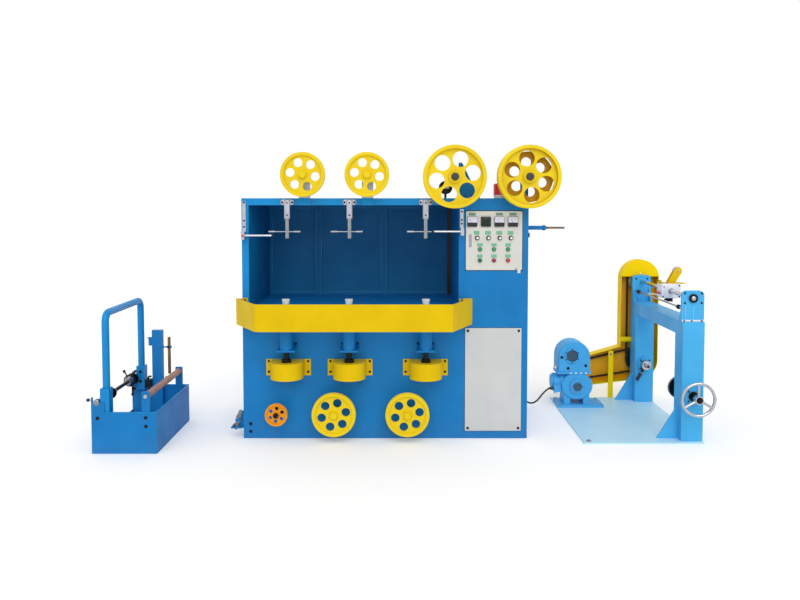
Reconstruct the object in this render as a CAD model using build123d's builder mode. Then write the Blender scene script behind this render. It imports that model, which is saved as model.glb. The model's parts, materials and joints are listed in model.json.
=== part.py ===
from build123d import *
from dataclasses import dataclass
import math
import os

# Cable taping machine: a three-spindle taping unit between its pay-off stand and its
# take-up stand. Millimetres, +Z up. The cable runs along +X and the operator stands at -Y.
# The origin lies on the floor, at the middle of the taping unit's base.

# Fits and gaps
RUNNING = 0.1
END_FLOAT = 0.6
SEAT_GAP = 0.3

# Taping unit, the floor-standing housing
UNIT_WIDTH = 2066.0
UNIT_DEPTH = 900.0
UNIT_HEIGHT = 1750.0
SIDE_WALL = 50.0
ROOF_HEIGHT = 50.0
DECK_HEIGHT = 950.0
CABINET_WIDTH = 502.0
EDGE_ROUND = 5.0
BACK_FRAME = 35.0
BACK_PANEL = 15.0
SEAM_BAR = 56.0
BORDER_BAR = 28.0
SEAM_SHARES = (0.2708, 0.6308)
CONDUIT = 30.0

# Control and access panels on the cabinet front
PANEL_WIDTH = 405.0
PANEL_HEIGHT = 424.0
PANEL_SHEET = 8.0
PANEL_FROM_LEFT = 50.0
PANEL_DROP = 93.0
METER_SIZE = 72.0
METER_PROUD = 14.0
METER_PLACES = (-158.0, -60.0, 37.0, 134.0)
METER_ROUND = 4.0
METER_DROP = 75.0
KNOB_RADIUS = 17.0
KNOB_PROUD = 26.0
KNOB_PITCH = 81.0
KNOB_DROP = 192.0
BUTTON_RADIUS = 15.0
BUTTON_PROUD = 20.0
BUTTON_PITCH = 101.0
BUTTON_ROWS = (274.0, 354.0)
LATCH_SIZE = 22.0
ACCESS_WIDTH = 408.0
ACCESS_HEIGHT = 754.0
ACCESS_SHEET = 4.0
ACCESS_BOTTOM = 57.0

# Taping spindles, in the cable plane in front of the housing
CABLE_OFFSET = 110.0
SPINDLE_SHARES = (0.1856, 0.4808, 0.8415)
HOUSING_RADIUS = 45.0
HOUSING_BOTTOM = 676.0
HOUSING_TOP = 1000.0
HOUSING_ARM = 60.0
HOUSING_FLANGE = 130.0
FLANGE_THICK = 14.0
SHAFT_RADIUS = 19.0
SHAFT_BORE = 9.0
SHAFT_BOTTOM = 500.0
NOZZLE_RADIUS = 21.0
NOZZLE_MOUTH = 27.0
NOZZLE_HEIGHT = 35.0
NOZZLE_LIP = 5.0
SHAFT_COLLAR = (33.0, 606.0)
PULLEY_RADIUS = 88.0
PULLEY_HEIGHT = 44.0
PULLEY_GROOVE = 10.0

# Half-round pulley guards
GUARD_BOTTOM = 466.0
GUARD_HEIGHT = 119.0
GUARD_CHORD = 232.0
GUARD_BOW = 205.0
GUARD_SHEET = 4.0
GUARD_EAR = 46.0
GUARD_SLOT = 38.0

# Yellow guard rail round the taping heads
RAIL_BOTTOM = 838.0
RAIL_HEIGHT = 189.0
RAIL_REACH = 330.0
RAIL_FROM_LEFT = 151.0
RAIL_FROM_CABINET = 64.0
RAIL_END_OUT = 45.0
RAIL_END_ON_CABINET = 98.0
RAIL_SHEET = 5.0
RAIL_BEND = 60.0
RAIL_TAB = 30.0

# Tape guides that hang from the roof's front edge
GUIDE_HEAD = (99.0, 12.0, 41.0)
GUIDE_BODY = (41.0, 24.0)
GUIDE_BODY_DROP = 99.0
GUIDE_BAR = (24.0, 12.0)
GUIDE_BAR_DROP = 238.0
GUIDE_PIN_RADIUS = 5.0
GUIDE_PIN_SPAN = (-133.0, 94.0)
GUIDE_PIN_DROP = 190.0
GUIDE_BUSH = (9.0, 46.0)

# Guide arms beside the bay, and the cable's outlet guide
ARM_STRIP = (24.0, 10.0)
ARM_INSET = 8.0
LEFT_ARM_DROPS = (291.0, 21.0)
RIGHT_ARM_DROPS = (262.0, 79.0)
ARM_BAR_RADIUS = 9.0
ARM_CLAMP = 56.0
ARM_REACH = 215.0
ARM_DROP = 24.0
OUTLET_DROP = 215.0
OUTLET_SETBACK = 90.0
OUTLET_TUBE = (15.0, 137.0)
OUTLET_COLLAR = 20.0
OUTLET_ROD = (7.5, 140.0)

# Beacon on the cabinet roof
BEACON_RADIUS = 48.0
BEACON_HEIGHT = 88.0
BEACON_BASE = 22.0
BEACON_FROM_RIGHT = 200.0
BEACON_SETBACK = 70.0


@dataclass
class WheelSize:
    """Sizes of one grooved guide wheel."""

    radius: float
    width: float
    rim: float
    groove: float
    web: float
    recess: float
    hub_radius: float
    hole_radius: float
    hole_pitch: float


SMALL_WHEEL = WheelSize(80.0, 36.0, 13.0, 8.0, 10.0, 13.0, 20.0, 13.0, 46.0)
GUIDE_WHEEL = WheelSize(157.0, 42.0, 24.0, 14.0, 12.0, 14.0, 30.0, 31.0, 89.0)
CAPSTAN = WheelSize(222.0, 96.0, 26.0, 15.0, 12.0, 30.0, 42.0, 55.0, 129.0)
HOLES_PER_WHEEL = 6
WHEEL_ROUND = 3.0
HUB_REACH = 6.0
LOWER_TURNS = (25.0, 13.0, 13.0)
TOP_TURN = 51.0
CAPSTAN_TURNS = (12.0, 38.0)
BACK_WEB_HOLE = 36.0
BACK_WEB_PITCH = 104.0
RIM_SLOT = 11.0
RIM_SLOT_PITCH = 179.0
RIM_SLOT_ARC = 30.0
AXLE_RADIUS = 14.0
AXLE_FLANGE = 36.0
NUT_RADIUS = 21.0
NUT_HEIGHT = 14.0
COLLAR_RADIUS = 24.0

LOWER_WHEEL_SHARES = (0.1361, 0.4075, 0.755)
LOWER_WHEEL_HEIGHT = 205.0
TOP_WHEEL_SHARES = (0.2682, 0.5667)
TOP_WHEEL_RISE = 166.0
CAPSTAN_INSETS = (-40.0, 20.0)
CAPSTAN_RISE = 150.0

# Brackets of the upper wheels
BRACKET_WIDTH = 82.0
BRACKET_SHEET = 14.0
BEARING_RADIUS = 42.0
CAPSTAN_PLATE = 24.0
CAPSTAN_PLATE_FOOT = 150.0
CAPSTAN_PLATE_RISE = 256.0
CAPSTAN_SETBACK = 30.0
CAPSTAN_POST = 56.0
COUNTER_RADIUS = 48.0
COUNTER_WIDTH = 34.0
COUNTER_POST = 16.0

# Lever bracket low on the unit's left side
LEVER_PLATE = 65.0
LEVER_HEIGHT = 130.0
LEVER_SHEET = 10.0
LEVER_BASE = (56.0, 90.0, 12.0)
LEVER_LENGTH = 150.0
LEVER_WIDTH = 26.0
LEVER_PIN = 14.0
LEVER_PIN_SHARE = 0.7
LEVER_LEAN = 75.0

# Pay-off stand
TROUGH_WIDTH = 446.0
TROUGH_DEPTH = 798.0
TROUGH_HEIGHT = 288.0
TROUGH_SHEET = 6.0
TROUGH_SILL = 90.0
PAYOFF_GAP = 524.0
TROUGH_FRONT = -792.0
SEAT_TAB = 13.0
SEAT_TAB_TOP = 391.0
ARCH_RADIUS = 25.0
ARCH_TOP = 962.0
ARCH_BEND = 62.0
ARCH_FROM_LEFT = 91.0
ARCH_FROM_END = 46.0
CLAMP_BLOCK = (62.0, 64.0, 180.0)
CLAMP_DROP = 20.0
PAYOFF_AXIS_HEIGHT = 354.0
PAYOFF_FROM_LEFT = 36.0
PAYOFF_BEARING = 22.0
PAYOFF_SHAFT_RADIUS = 13.0
PAYOFF_CONE_RADIUS = 40.0
PAYOFF_CONE_LENGTH = 46.0
CONE_TAPER = 18.0
CHUCK_HUB = (30.0, 70.0)
CHUCK_FLANGE = (46.0, 14.0)
CHUCK_LEVER = (7.0, 112.0)
CHUCK_PIN = (5.0, 62.0)
POST_WIDTH = 80.0
POST_DEPTH = 40.0
POST_SHEET = 12.0
POST_TOP = 724.0
POST_FROM_LEFT = 174.0
GUIDE_ROD_RADIUS = 11.0
GUIDE_ROD_SPAN = (381.0, 668.0)
GUIDE_ROD_FROM_RIGHT = 143.0
GUIDE_ROD_CLAMP = 34.0
CROSS_ROD_RADIUS = 6.0
CROSS_ROD_HEIGHT = 590.0
BRACE_HEIGHT = 664.0
BRACE_LUG = (26.0, 60.0)
BRAKE_BLOCK = (48.0, 60.0, 54.0)
BRAKE_LEVER = 7.0
ROLLER_RADIUS = 24.0
ROLLER_FROM_RIGHT = 74.0
ROLLER_HEIGHT = 396.0
ROLLER_PLATE = (56.0, 8.0, 430.0)

# Take-up stand
BASE_WIDTH = 856.0
BASE_DEPTH = 1260.0
BASE_SHEET = 12.0
TAKEUP_GAP = 387.0
BASE_FRONT = -590.0
BASE_HOLE = 9.0
BASE_HOLE_INSET = 40.0
COLUMN_WIDTH = 155.0
COLUMN_DEPTH = 150.0
COLUMN_TOP = 870.0
COLUMN_FROM_RIGHT = 3.0
COLUMN_FROM_FRONT = 34.0
COLUMN_FROM_BACK = 8.0
GANTRY_HEIGHT = 100.0
GUSSET_FOOT = 150.0
GUSSET_RISE = 250.0
GUSSET_SHEET = 12.0
BEARING_PLATE = (160.0, 24.0, 222.0)
BEARING_PLATE_ROUND = 35.0
BEARING_RIB = (12.0, 46.0, 130.0)
ROD_RADIUS = 15.0
ROD_RISE = 168.0
ROD_NUT = (30.0, 12.0)
STOP_ROD_RADIUS = 7.0
STOP_ROD_RISE = 90.0
STOP_ROD_SETOFF = 56.0
STOP_COLLAR = (16.0, 24.0)
STOP_INSET = 90.0
CARRIAGE = (150.0, 112.0, 112.0)
CARRIAGE_PLACE = -40.0
CARRIAGE_ROUND = 14.0
CAM_RADIUS = 24.0
CAM_HEIGHT = 26.0
ARM_PLATE = (190.0, 70.0, 8.0)
ARM_LIP = 26.0
ARM_LEAN = 52.0
ARM_LENGTH = 165.0
ARM_CHEEK = 56.0
ARM_GAP = 30.0
GUIDE_ROLLER = (36.0, 22.0)
REEL_AXIS = 340.0
REEL_SHAFT_RADIUS = 22.0
REEL_CONE_RADIUS = 45.0
REEL_CONE_LENGTH = 70.0
REEL_FLANGE = (85.0, 14.0)
TAILSTOCK_SLEEVE = (30.0, 100.0)
DRIVE_HUB = (40.0, 46.0)
DRIVE_ARM = (9.0, 150.0)
DRIVE_ARM_SLEEVE = (14.0, 0.55)
DRIVE_ARM_TURN = 240.0
BEARING_FLANGE = 62.0
BEARING_FLANGE_THICK = 18.0
TAILSTOCK_TRAVEL = 60.0
HANDWHEEL_RADIUS = 125.0
HANDWHEEL_RIM = 11.0
HANDWHEEL_HUB = 30.0
HANDWHEEL_HUB_WIDTH = 44.0
HANDWHEEL_CLEAR = 10.0
HANDWHEEL_SPOKES = 3
SPOKE_RADIUS = 9.0

# Belt drive behind the rear column
BELT_DEPTH = 100.0
BELT_GUARD_RADIUS = 165.0
BELT_GUARD_END = 118.0
BELT_GUARD_SHEET = 5.0
BELT_GUARD_LIFT = 20.0
BELT_COVER_HEIGHT = 146.0
BELT_MOTOR_FROM_LEFT = 205.0
BELT_MOTOR_HEIGHT = 222.0
BELT_PULLEY_RADIUS = 95.0
MOTOR_PULLEY_RADIUS = 70.0
BELT_WIDTH = 30.0
BELT_LANES = (18.0, 60.0)
BELT_THICK = 10.0
BELT_POST = (43.0, 425.0, 508.0)
BELT_STAY = (22.0, 528.0)

# Gearmotor: an arched gear case on an egg-shaped one, with its motor at the left
GEAR_CASE_RADIUS = 134.0
GEAR_CASE_HEIGHT = 430.0
GEAR_FROM_LEFT = 140.0
GEAR_FROM_BACK = 320.0
GEAR_DEPTH = 180.0
GEAR_SPLIT = 302.0
GEAR_BODY = (262.0, 228.0)
GEAR_BODY_OFFSET = 26.0
GEAR_FLANGE = 12.0
GEAR_BORE = (50.0, -19.0, 13.0)
GEAR_RING = (63.0, 9.0)
GEAR_BOSSES = ((62.0, 14.0), (36.0, 24.0))
GEAR_FEET = (52.0, 160.0)
MOTOR_RADIUS = 70.0
MOTOR_FLANGE = (79.0, 10.0)
MOTOR_LENGTH = 54.0
MOTOR_COVER = (60.0, 14.0)
MOTOR_HEIGHT = 210.0
TERMINAL_BOX = (55.0, 40.0, 56.0)
TERMINAL_PLACE = (6.0, 38.0)
FOOT_PLATE = (380.0, 22.0)
FOOT_FROM_LEFT = 6.0

# Motor cable from the cabinet's side to the motor
CABLE_RADIUS = 7.0
CABLE_START = (250.0, 118.0)
CABLE_LOWEST = (285.0, 40.0)
CABLE_LEADS = (38.0, 36.0)
CABLE_BENDS = (100.0, 120.0, 66.0)
GLAND_RADIUS = 13.0
GLAND_LENGTH = 24.0

# Places that follow from the sizes above
LEFT = -UNIT_WIDTH / 2
RIGHT = UNIT_WIDTH / 2
FRONT = -UNIT_DEPTH / 2
BACK = UNIT_DEPTH / 2
CABINET_LEFT = RIGHT - CABINET_WIDTH
BAY_LEFT = LEFT + SIDE_WALL
BAY_TOP = UNIT_HEIGHT - ROOF_HEIGHT
BAY_WIDTH = CABINET_LEFT - BAY_LEFT
CABLE_Y = FRONT - CABLE_OFFSET
SPINDLE_PLACES = [BAY_LEFT + BAY_WIDTH * share for share in SPINDLE_SHARES]
LOWER_WHEEL_PLACES = [BAY_LEFT + BAY_WIDTH * share for share in LOWER_WHEEL_SHARES]
TOP_WHEEL_PLACES = [BAY_LEFT + BAY_WIDTH * share for share in TOP_WHEEL_SHARES]
CAPSTAN_PLACES = [CABINET_LEFT + CAPSTAN_INSETS[0], RIGHT - CAPSTAN_INSETS[1]]
TOP_WHEEL_HEIGHT = UNIT_HEIGHT + TOP_WHEEL_RISE
CAPSTAN_HEIGHT = UNIT_HEIGHT + CAPSTAN_RISE
CAPSTAN_PLATE_TOP = UNIT_HEIGHT + CAPSTAN_PLATE_RISE
RAIL_LEFT = LEFT + RAIL_FROM_LEFT
RAIL_RIGHT = CABINET_LEFT - RAIL_FROM_CABINET
RAIL_END_RIGHT = CABINET_LEFT + RAIL_END_ON_CABINET
OUTLET_HEIGHT = UNIT_HEIGHT - OUTLET_DROP
PANEL_MIDDLE = CABINET_LEFT + PANEL_FROM_LEFT + PANEL_WIDTH / 2
PANEL_TOP = UNIT_HEIGHT - PANEL_DROP
PANEL_BOTTOM = PANEL_TOP - PANEL_HEIGHT
PANEL_FACE = FRONT - PANEL_SHEET
TROUGH_RIGHT = LEFT - PAYOFF_GAP
TROUGH_LEFT = TROUGH_RIGHT - TROUGH_WIDTH
TROUGH_BACK = TROUGH_FRONT + TROUGH_DEPTH
ARCH_X = TROUGH_LEFT + ARCH_FROM_LEFT
PAYOFF_X = TROUGH_LEFT + PAYOFF_FROM_LEFT
ARCH_ENDS = (TROUGH_FRONT + ARCH_FROM_END, TROUGH_BACK - ARCH_FROM_END)
TROUGH_WALLS = (TROUGH_FRONT + TROUGH_SHEET, TROUGH_BACK - TROUGH_SHEET)
BASE_LEFT = RIGHT + TAKEUP_GAP
BASE_RIGHT = BASE_LEFT + BASE_WIDTH
BASE_BACK = BASE_FRONT + BASE_DEPTH
COLUMN_RIGHT = BASE_RIGHT - COLUMN_FROM_RIGHT
COLUMN_X = COLUMN_RIGHT - COLUMN_WIDTH / 2
FRONT_COLUMN = (BASE_FRONT + COLUMN_FROM_FRONT, BASE_FRONT + COLUMN_FROM_FRONT + COLUMN_DEPTH)
REAR_COLUMN = (BASE_BACK - COLUMN_FROM_BACK - COLUMN_DEPTH, BASE_BACK - COLUMN_FROM_BACK)
PLATE_PLACES = (
    (FRONT_COLUMN[0] + BEARING_PLATE[1], FRONT_COLUMN[0] + 2 * BEARING_PLATE[1]),
    (REAR_COLUMN[1] - 2 * BEARING_PLATE[1], REAR_COLUMN[1] - BEARING_PLATE[1]),
)
ROD_HEIGHT = COLUMN_TOP + ROD_RISE
BELT_FRONT = REAR_COLUMN[1]
BELT_TOP_HEIGHT = ROD_HEIGHT + BELT_GUARD_LIFT
BELT_MOTOR_PLACE = (BASE_LEFT + BELT_MOTOR_FROM_LEFT, BELT_MOTOR_HEIGHT)
GEAR_X = BASE_LEFT + GEAR_FROM_LEFT
GEAR_FRONT = BASE_BACK - GEAR_FROM_BACK
GEAR_BACK = GEAR_FRONT + GEAR_DEPTH
GEAR_BODY_X = GEAR_X + GEAR_BODY_OFFSET
MOTOR_FACE = GEAR_BODY_X - GEAR_BODY[0] / 2 - MOTOR_FLANGE[1] / 2


def save(piece, name):
    """Label a finished piece and write it to its own file."""
    piece.part.label = name
    export_step(piece.part, f"parts/{name}.step")


def block(x, y, z, mode=Mode.ADD):
    """Put a box that spans x, y and z, each a (low, high) pair, in the current part."""
    with Locations(((x[0] + x[1]) / 2, (y[0] + y[1]) / 2, (z[0] + z[1]) / 2)):
        Box(x[1] - x[0], y[1] - y[0], z[1] - z[0], mode=mode)


def bar(start, end, radius, mode=Mode.ADD):
    """Put a round bar from start to end in the current part."""
    run = Vector(*end) - Vector(*start)
    with Locations(Plane(origin=start, z_dir=run)):
        Cylinder(radius, run.length, align=(Align.CENTER, Align.CENTER, Align.MIN), mode=mode)


def make_wheel(size, x, z, turn, two_webs=False):
    """A grooved guide wheel on the cable plane, with its hub at x, z and its first hole at turn."""
    front = CABLE_Y - size.width / 2
    back = CABLE_Y + size.width / 2
    inner = size.radius - size.rim
    lip = size.width / 5
    web_front = front + size.recess
    web_back = web_front + size.web
    with BuildPart() as wheel:
        with BuildSketch(Plane.XY.offset(z)):
            with BuildLine():
                Polyline(
                    (x + AXLE_RADIUS + RUNNING, front),
                    (x + size.hub_radius, front),
                    (x + size.hub_radius + HUB_REACH, web_front),
                    (x + inner, web_front),
                    (x + inner, front),
                    (x + size.radius, front),
                    (x + size.radius, front + lip),
                    (x + size.radius - size.groove, CABLE_Y - lip / 2),
                    (x + size.radius - size.groove, CABLE_Y + lip / 2),
                    (x + size.radius, back - lip),
                    (x + size.radius, back),
                    (x + inner, back),
                    (x + inner, web_back),
                    (x + size.hub_radius + HUB_REACH, web_back),
                    (x + size.hub_radius, back),
                    (x + AXLE_RADIUS + RUNNING, back),
                    close=True,
                )
            make_face()
        revolve(axis=Axis((x, 0, z), (0, 1, 0)))
        ends = wheel.edges().filter_by(GeomType.CIRCLE).group_by(Axis.Y)
        rims = [edge for edge in ends[0] + ends[-1] if edge.radius > inner - RUNNING]
        fillet(rims, WHEEL_ROUND)
        face = Plane(origin=(x, front, z), x_dir=(1, 0, 0), z_dir=(0, -1, 0))
        with BuildSketch(face):
            with PolarLocations(size.hole_pitch, HOLES_PER_WHEEL, start_angle=turn):
                Circle(size.hole_radius)
        extrude(amount=-size.width, mode=Mode.SUBTRACT)
        if two_webs:
            with BuildSketch(face.offset(size.web - size.width)):
                Circle(inner + RUNNING)
                Circle(size.hub_radius - RUNNING, mode=Mode.SUBTRACT)
                with PolarLocations(BACK_WEB_PITCH, HOLES_PER_WHEEL, start_angle=turn):
                    Circle(BACK_WEB_HOLE, mode=Mode.SUBTRACT)
                for start in range(HOLES_PER_WHEEL):
                    middle = turn + 360 * start / HOLES_PER_WHEEL
                    slot = CenterArc((0, 0), RIM_SLOT_PITCH, middle - RIM_SLOT_ARC / 2, RIM_SLOT_ARC)
                    SlotArc(slot, RIM_SLOT, mode=Mode.SUBTRACT)
            extrude(amount=-size.web)
    return wheel


def add_axle(size, x, z, seat):
    """Add a fixed axle to the current part: from seat, through a wheel, to its front nut."""
    front = CABLE_Y - size.width / 2 - END_FLOAT
    back = CABLE_Y + size.width / 2 + END_FLOAT
    bar((x, seat, z), (x, front - NUT_HEIGHT, z), AXLE_RADIUS)
    bar((x, seat, z), (x, back, z), COLLAR_RADIUS)
    with BuildSketch(Plane(origin=(x, front, z), x_dir=(1, 0, 0), z_dir=(0, -1, 0))) as nut:
        RegularPolygon(NUT_RADIUS, 6)
    extrude(nut.sketch, amount=NUT_HEIGHT)


def make_housing():
    """The closed housing: lower cabinet, control cabinet, side wall, roof and back wall."""
    with BuildPart() as lower_cabinet:
        block((LEFT, CABINET_LEFT), (FRONT, BACK), (0, DECK_HEIGHT))
    save(lower_cabinet, "lower_cabinet")
    with BuildPart() as control_cabinet:
        block((CABINET_LEFT, RIGHT), (FRONT, BACK), (0, UNIT_HEIGHT))
        fillet(control_cabinet.edges().filter_by(Axis.Z).sort_by(Axis.X)[-2:], EDGE_ROUND)
    save(control_cabinet, "control_cabinet")
    with BuildPart() as side_wall:
        block((LEFT, BAY_LEFT), (FRONT, BACK), (DECK_HEIGHT, BAY_TOP))
    save(side_wall, "left_side_wall")
    with BuildPart() as roof:
        block((LEFT, CABINET_LEFT), (FRONT, BACK), (BAY_TOP, UNIT_HEIGHT))
    save(roof, "bay_roof")
    frame_front = BACK - BACK_FRAME
    seams = [BAY_LEFT + BAY_WIDTH * share for share in SEAM_SHARES]
    lefts = [BAY_LEFT + BORDER_BAR] + [seam + SEAM_BAR / 2 for seam in seams]
    rights = [seam - SEAM_BAR / 2 for seam in seams] + [CABINET_LEFT - BORDER_BAR]
    window = (DECK_HEIGHT + BORDER_BAR, BAY_TOP - BORDER_BAR)
    with BuildPart() as back_frame:
        block((BAY_LEFT, CABINET_LEFT), (frame_front, BACK), (DECK_HEIGHT, BAY_TOP))
        for low, high in zip(lefts, rights):
            block((low, high), (frame_front, BACK), window, mode=Mode.SUBTRACT)
    save(back_frame, "bay_back_frame")
    with BuildPart() as back_panels:
        for low, high in zip(lefts, rights):
            block((low, high), (BACK - BACK_PANEL, BACK), window)
    save(back_panels, "bay_back_panels")
    with BuildPart() as conduit:
        block(
            (CABINET_LEFT - CONDUIT, CABINET_LEFT),
            (frame_front - CONDUIT, frame_front),
            (DECK_HEIGHT, BAY_TOP),
        )
    save(conduit, "corner_conduit")


def make_panels():
    """The control panel with its instruments, and the screwed access panel."""
    with BuildPart() as panel:
        block(
            (PANEL_MIDDLE - PANEL_WIDTH / 2, PANEL_MIDDLE + PANEL_WIDTH / 2),
            (PANEL_FACE, FRONT),
            (PANEL_BOTTOM, PANEL_TOP),
        )
        fillet(panel.edges().filter_by(Axis.Y), PANEL_SHEET)
        latch_x = PANEL_MIDDLE + PANEL_WIDTH / 2 - LATCH_SIZE
        block(
            (latch_x - LATCH_SIZE / 2, latch_x + LATCH_SIZE / 2),
            (PANEL_FACE, FRONT),
            (PANEL_BOTTOM - LATCH_SIZE, PANEL_BOTTOM),
        )
    save(panel, "control_panel")
    meter_z = PANEL_TOP - METER_DROP
    face = Plane(origin=(PANEL_MIDDLE, PANEL_FACE, 0), x_dir=(1, 0, 0), z_dir=(0, -1, 0))
    with BuildPart() as meters:
        with BuildSketch(face):
            with Locations(*[(place, meter_z) for place in METER_PLACES]):
                RectangleRounded(METER_SIZE, METER_SIZE, METER_ROUND)
        extrude(amount=METER_PROUD)
    save(meters, "panel_meters")
    with BuildPart() as knobs:
        with BuildSketch(face):
            with Locations((0, PANEL_TOP - KNOB_DROP)):
                with GridLocations(KNOB_PITCH, 1, 4, 1):
                    Circle(KNOB_RADIUS)
        extrude(amount=KNOB_PROUD, taper=4)
    save(knobs, "panel_knobs")
    with BuildPart() as buttons:
        with BuildSketch(face):
            for drop in BUTTON_ROWS:
                with Locations((0, PANEL_TOP - drop)):
                    with GridLocations(BUTTON_PITCH, 1, 3, 1):
                        Circle(BUTTON_RADIUS)
        extrude(amount=BUTTON_PROUD)
    save(buttons, "panel_buttons")
    with BuildPart() as access:
        block(
            (PANEL_MIDDLE - ACCESS_WIDTH / 2, PANEL_MIDDLE + ACCESS_WIDTH / 2),
            (FRONT - ACCESS_SHEET, FRONT),
            (ACCESS_BOTTOM, ACCESS_BOTTOM + ACCESS_HEIGHT),
        )
        fillet(access.edges().filter_by(Axis.Y), ACCESS_SHEET)
    save(access, "access_panel")


def make_guard_rail():
    """The bent sheet rail that goes round the taping heads."""
    with BuildPart() as rail:
        with BuildSketch(Plane.XY.offset(RAIL_BOTTOM)):
            with BuildLine():
                Polyline(
                    (LEFT - RAIL_END_OUT, FRONT),
                    (RAIL_LEFT, FRONT - RAIL_REACH),
                    (RAIL_RIGHT, FRONT - RAIL_REACH),
                    (RAIL_END_RIGHT, FRONT),
                    close=True,
                )
            make_face()
        extrude(amount=RAIL_HEIGHT)
        bends = rail.edges().filter_by(Axis.Z).group_by(Axis.Y)[0].sort_by(Axis.X)
        fillet(bends[0], RAIL_BEND)
        fillet(rail.edges().filter_by(Axis.Z).group_by(Axis.Y)[0].sort_by(Axis.X)[-1], RAIL_SHEET * 2)
        open_sides = rail.faces().filter_by(Axis.Z) + [rail.faces().sort_by(Axis.Y)[-1]]
        offset(amount=-RAIL_SHEET, openings=open_sides)
        tab = (RAIL_BOTTOM + RAIL_TAB, RAIL_BOTTOM + RAIL_HEIGHT)
        block((LEFT - RAIL_END_OUT, LEFT), (FRONT - RAIL_SHEET, FRONT), tab)
        block((LEFT - RAIL_SHEET, LEFT), (FRONT - RAIL_SHEET, FRONT + RAIL_TAB), tab)
        block((RAIL_END_RIGHT - 2 * RAIL_TAB, RAIL_END_RIGHT), (FRONT - RAIL_SHEET, FRONT), tab)
    save(rail, "guard_rail")


def make_housings():
    """The bearing housings of the three taping spindles, on the front of the unit."""
    with BuildPart() as housings:
        for x in SPINDLE_PLACES:
            bar((x, CABLE_Y, HOUSING_BOTTOM), (x, CABLE_Y, HOUSING_TOP), HOUSING_RADIUS)
            block(
                (x - HOUSING_ARM / 2, x + HOUSING_ARM / 2),
                (CABLE_Y, FRONT),
                (HOUSING_BOTTOM, DECK_HEIGHT),
            )
            block(
                (x - HOUSING_FLANGE / 2, x + HOUSING_FLANGE / 2),
                (CABLE_Y - HOUSING_RADIUS, FRONT),
                (HOUSING_BOTTOM - FLANGE_THICK, HOUSING_BOTTOM),
            )
            bar(
                (x, CABLE_Y, HOUSING_BOTTOM - FLANGE_THICK),
                (x, CABLE_Y, HOUSING_TOP),
                SHAFT_RADIUS + RUNNING,
                mode=Mode.SUBTRACT,
            )
    save(housings, "spindle_housings")


def make_spindle(index, x):
    """One hollow taping spindle with its belt pulley and the nozzle at its top."""
    nozzle_bottom = HOUSING_TOP + END_FLOAT
    with BuildPart() as shaft:
        bar((x, CABLE_Y, SHAFT_BOTTOM), (x, CABLE_Y, nozzle_bottom), SHAFT_RADIUS)
        with BuildSketch(Plane.XZ.offset(-CABLE_Y)):
            with BuildLine():
                Polyline(
                    (x, SHAFT_BOTTOM),
                    (x + PULLEY_RADIUS, SHAFT_BOTTOM),
                    (x + PULLEY_RADIUS - PULLEY_GROOVE, SHAFT_BOTTOM + PULLEY_HEIGHT / 2),
                    (x + PULLEY_RADIUS, SHAFT_BOTTOM + PULLEY_HEIGHT),
                    (x, SHAFT_BOTTOM + PULLEY_HEIGHT),
                    close=True,
                )
            make_face()
        revolve(axis=Axis((x, CABLE_Y, 0), (0, 0, 1)))
        collar_radius, collar_top = SHAFT_COLLAR
        bar((x, CABLE_Y, SHAFT_BOTTOM), (x, CABLE_Y, collar_top), collar_radius)
        with BuildSketch(Plane.XZ.offset(-CABLE_Y)):
            with BuildLine():
                Polyline(
                    (x, nozzle_bottom),
                    (x + NOZZLE_RADIUS, nozzle_bottom),
                    (x + NOZZLE_MOUTH, nozzle_bottom + NOZZLE_HEIGHT - NOZZLE_LIP),
                    (x + NOZZLE_MOUTH, nozzle_bottom + NOZZLE_HEIGHT),
                    (x, nozzle_bottom + NOZZLE_HEIGHT),
                    close=True,
                )
            make_face()
        revolve(axis=Axis((x, CABLE_Y, 0), (0, 0, 1)))
        chamfer(shaft.edges().filter_by(GeomType.CIRCLE).group_by(Axis.Z)[-1], NOZZLE_LIP / 3)
        bar(
            (x, CABLE_Y, SHAFT_BOTTOM),
            (x, CABLE_Y, nozzle_bottom + NOZZLE_HEIGHT),
            SHAFT_BORE,
            mode=Mode.SUBTRACT,
        )
    save(shaft, f"spindle_{index}")


def pulley_guard(x):
    """A bowed sheet guard over a spindle's belt pulley, with an ear on each side."""
    side = GUARD_BOW - GUARD_CHORD / 2
    top = GUARD_BOTTOM + GUARD_HEIGHT
    with BuildPart() as guard:
        with BuildSketch(Plane.XY.offset(GUARD_BOTTOM)):
            with BuildLine():
                Polyline(
                    (x - GUARD_CHORD / 2, FRONT - side),
                    (x - GUARD_CHORD / 2, FRONT),
                    (x + GUARD_CHORD / 2, FRONT),
                    (x + GUARD_CHORD / 2, FRONT - side),
                )
                ThreePointArc(
                    (x + GUARD_CHORD / 2, FRONT - side),
                    (x, FRONT - GUARD_BOW),
                    (x - GUARD_CHORD / 2, FRONT - side),
                )
            make_face()
        extrude(amount=GUARD_HEIGHT)
        open_sides = [guard.faces().sort_by(Axis.Z)[0], guard.faces().sort_by(Axis.Y)[-1]]
        offset(amount=-GUARD_SHEET, openings=open_sides)
        for low, high in (
            (x - GUARD_CHORD / 2 - GUARD_EAR, x - GUARD_CHORD / 2 + GUARD_SHEET),
            (x + GUARD_CHORD / 2 - GUARD_SHEET, x + GUARD_CHORD / 2 + GUARD_EAR),
        ):
            block((low, high), (FRONT - GUARD_SHEET, FRONT), (GUARD_BOTTOM, top))
        bar((x, CABLE_Y, top - 2 * GUARD_SHEET), (x, CABLE_Y, top), GUARD_SLOT, mode=Mode.SUBTRACT)
    return guard


def make_pulley_guards():
    """The yellow pulley guards below the three spindles."""
    each = [pulley_guard(x) for x in SPINDLE_PLACES]
    with BuildPart() as guards:
        for guard in each:
            add(guard.part)
    save(guards, "pulley_guards")


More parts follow.
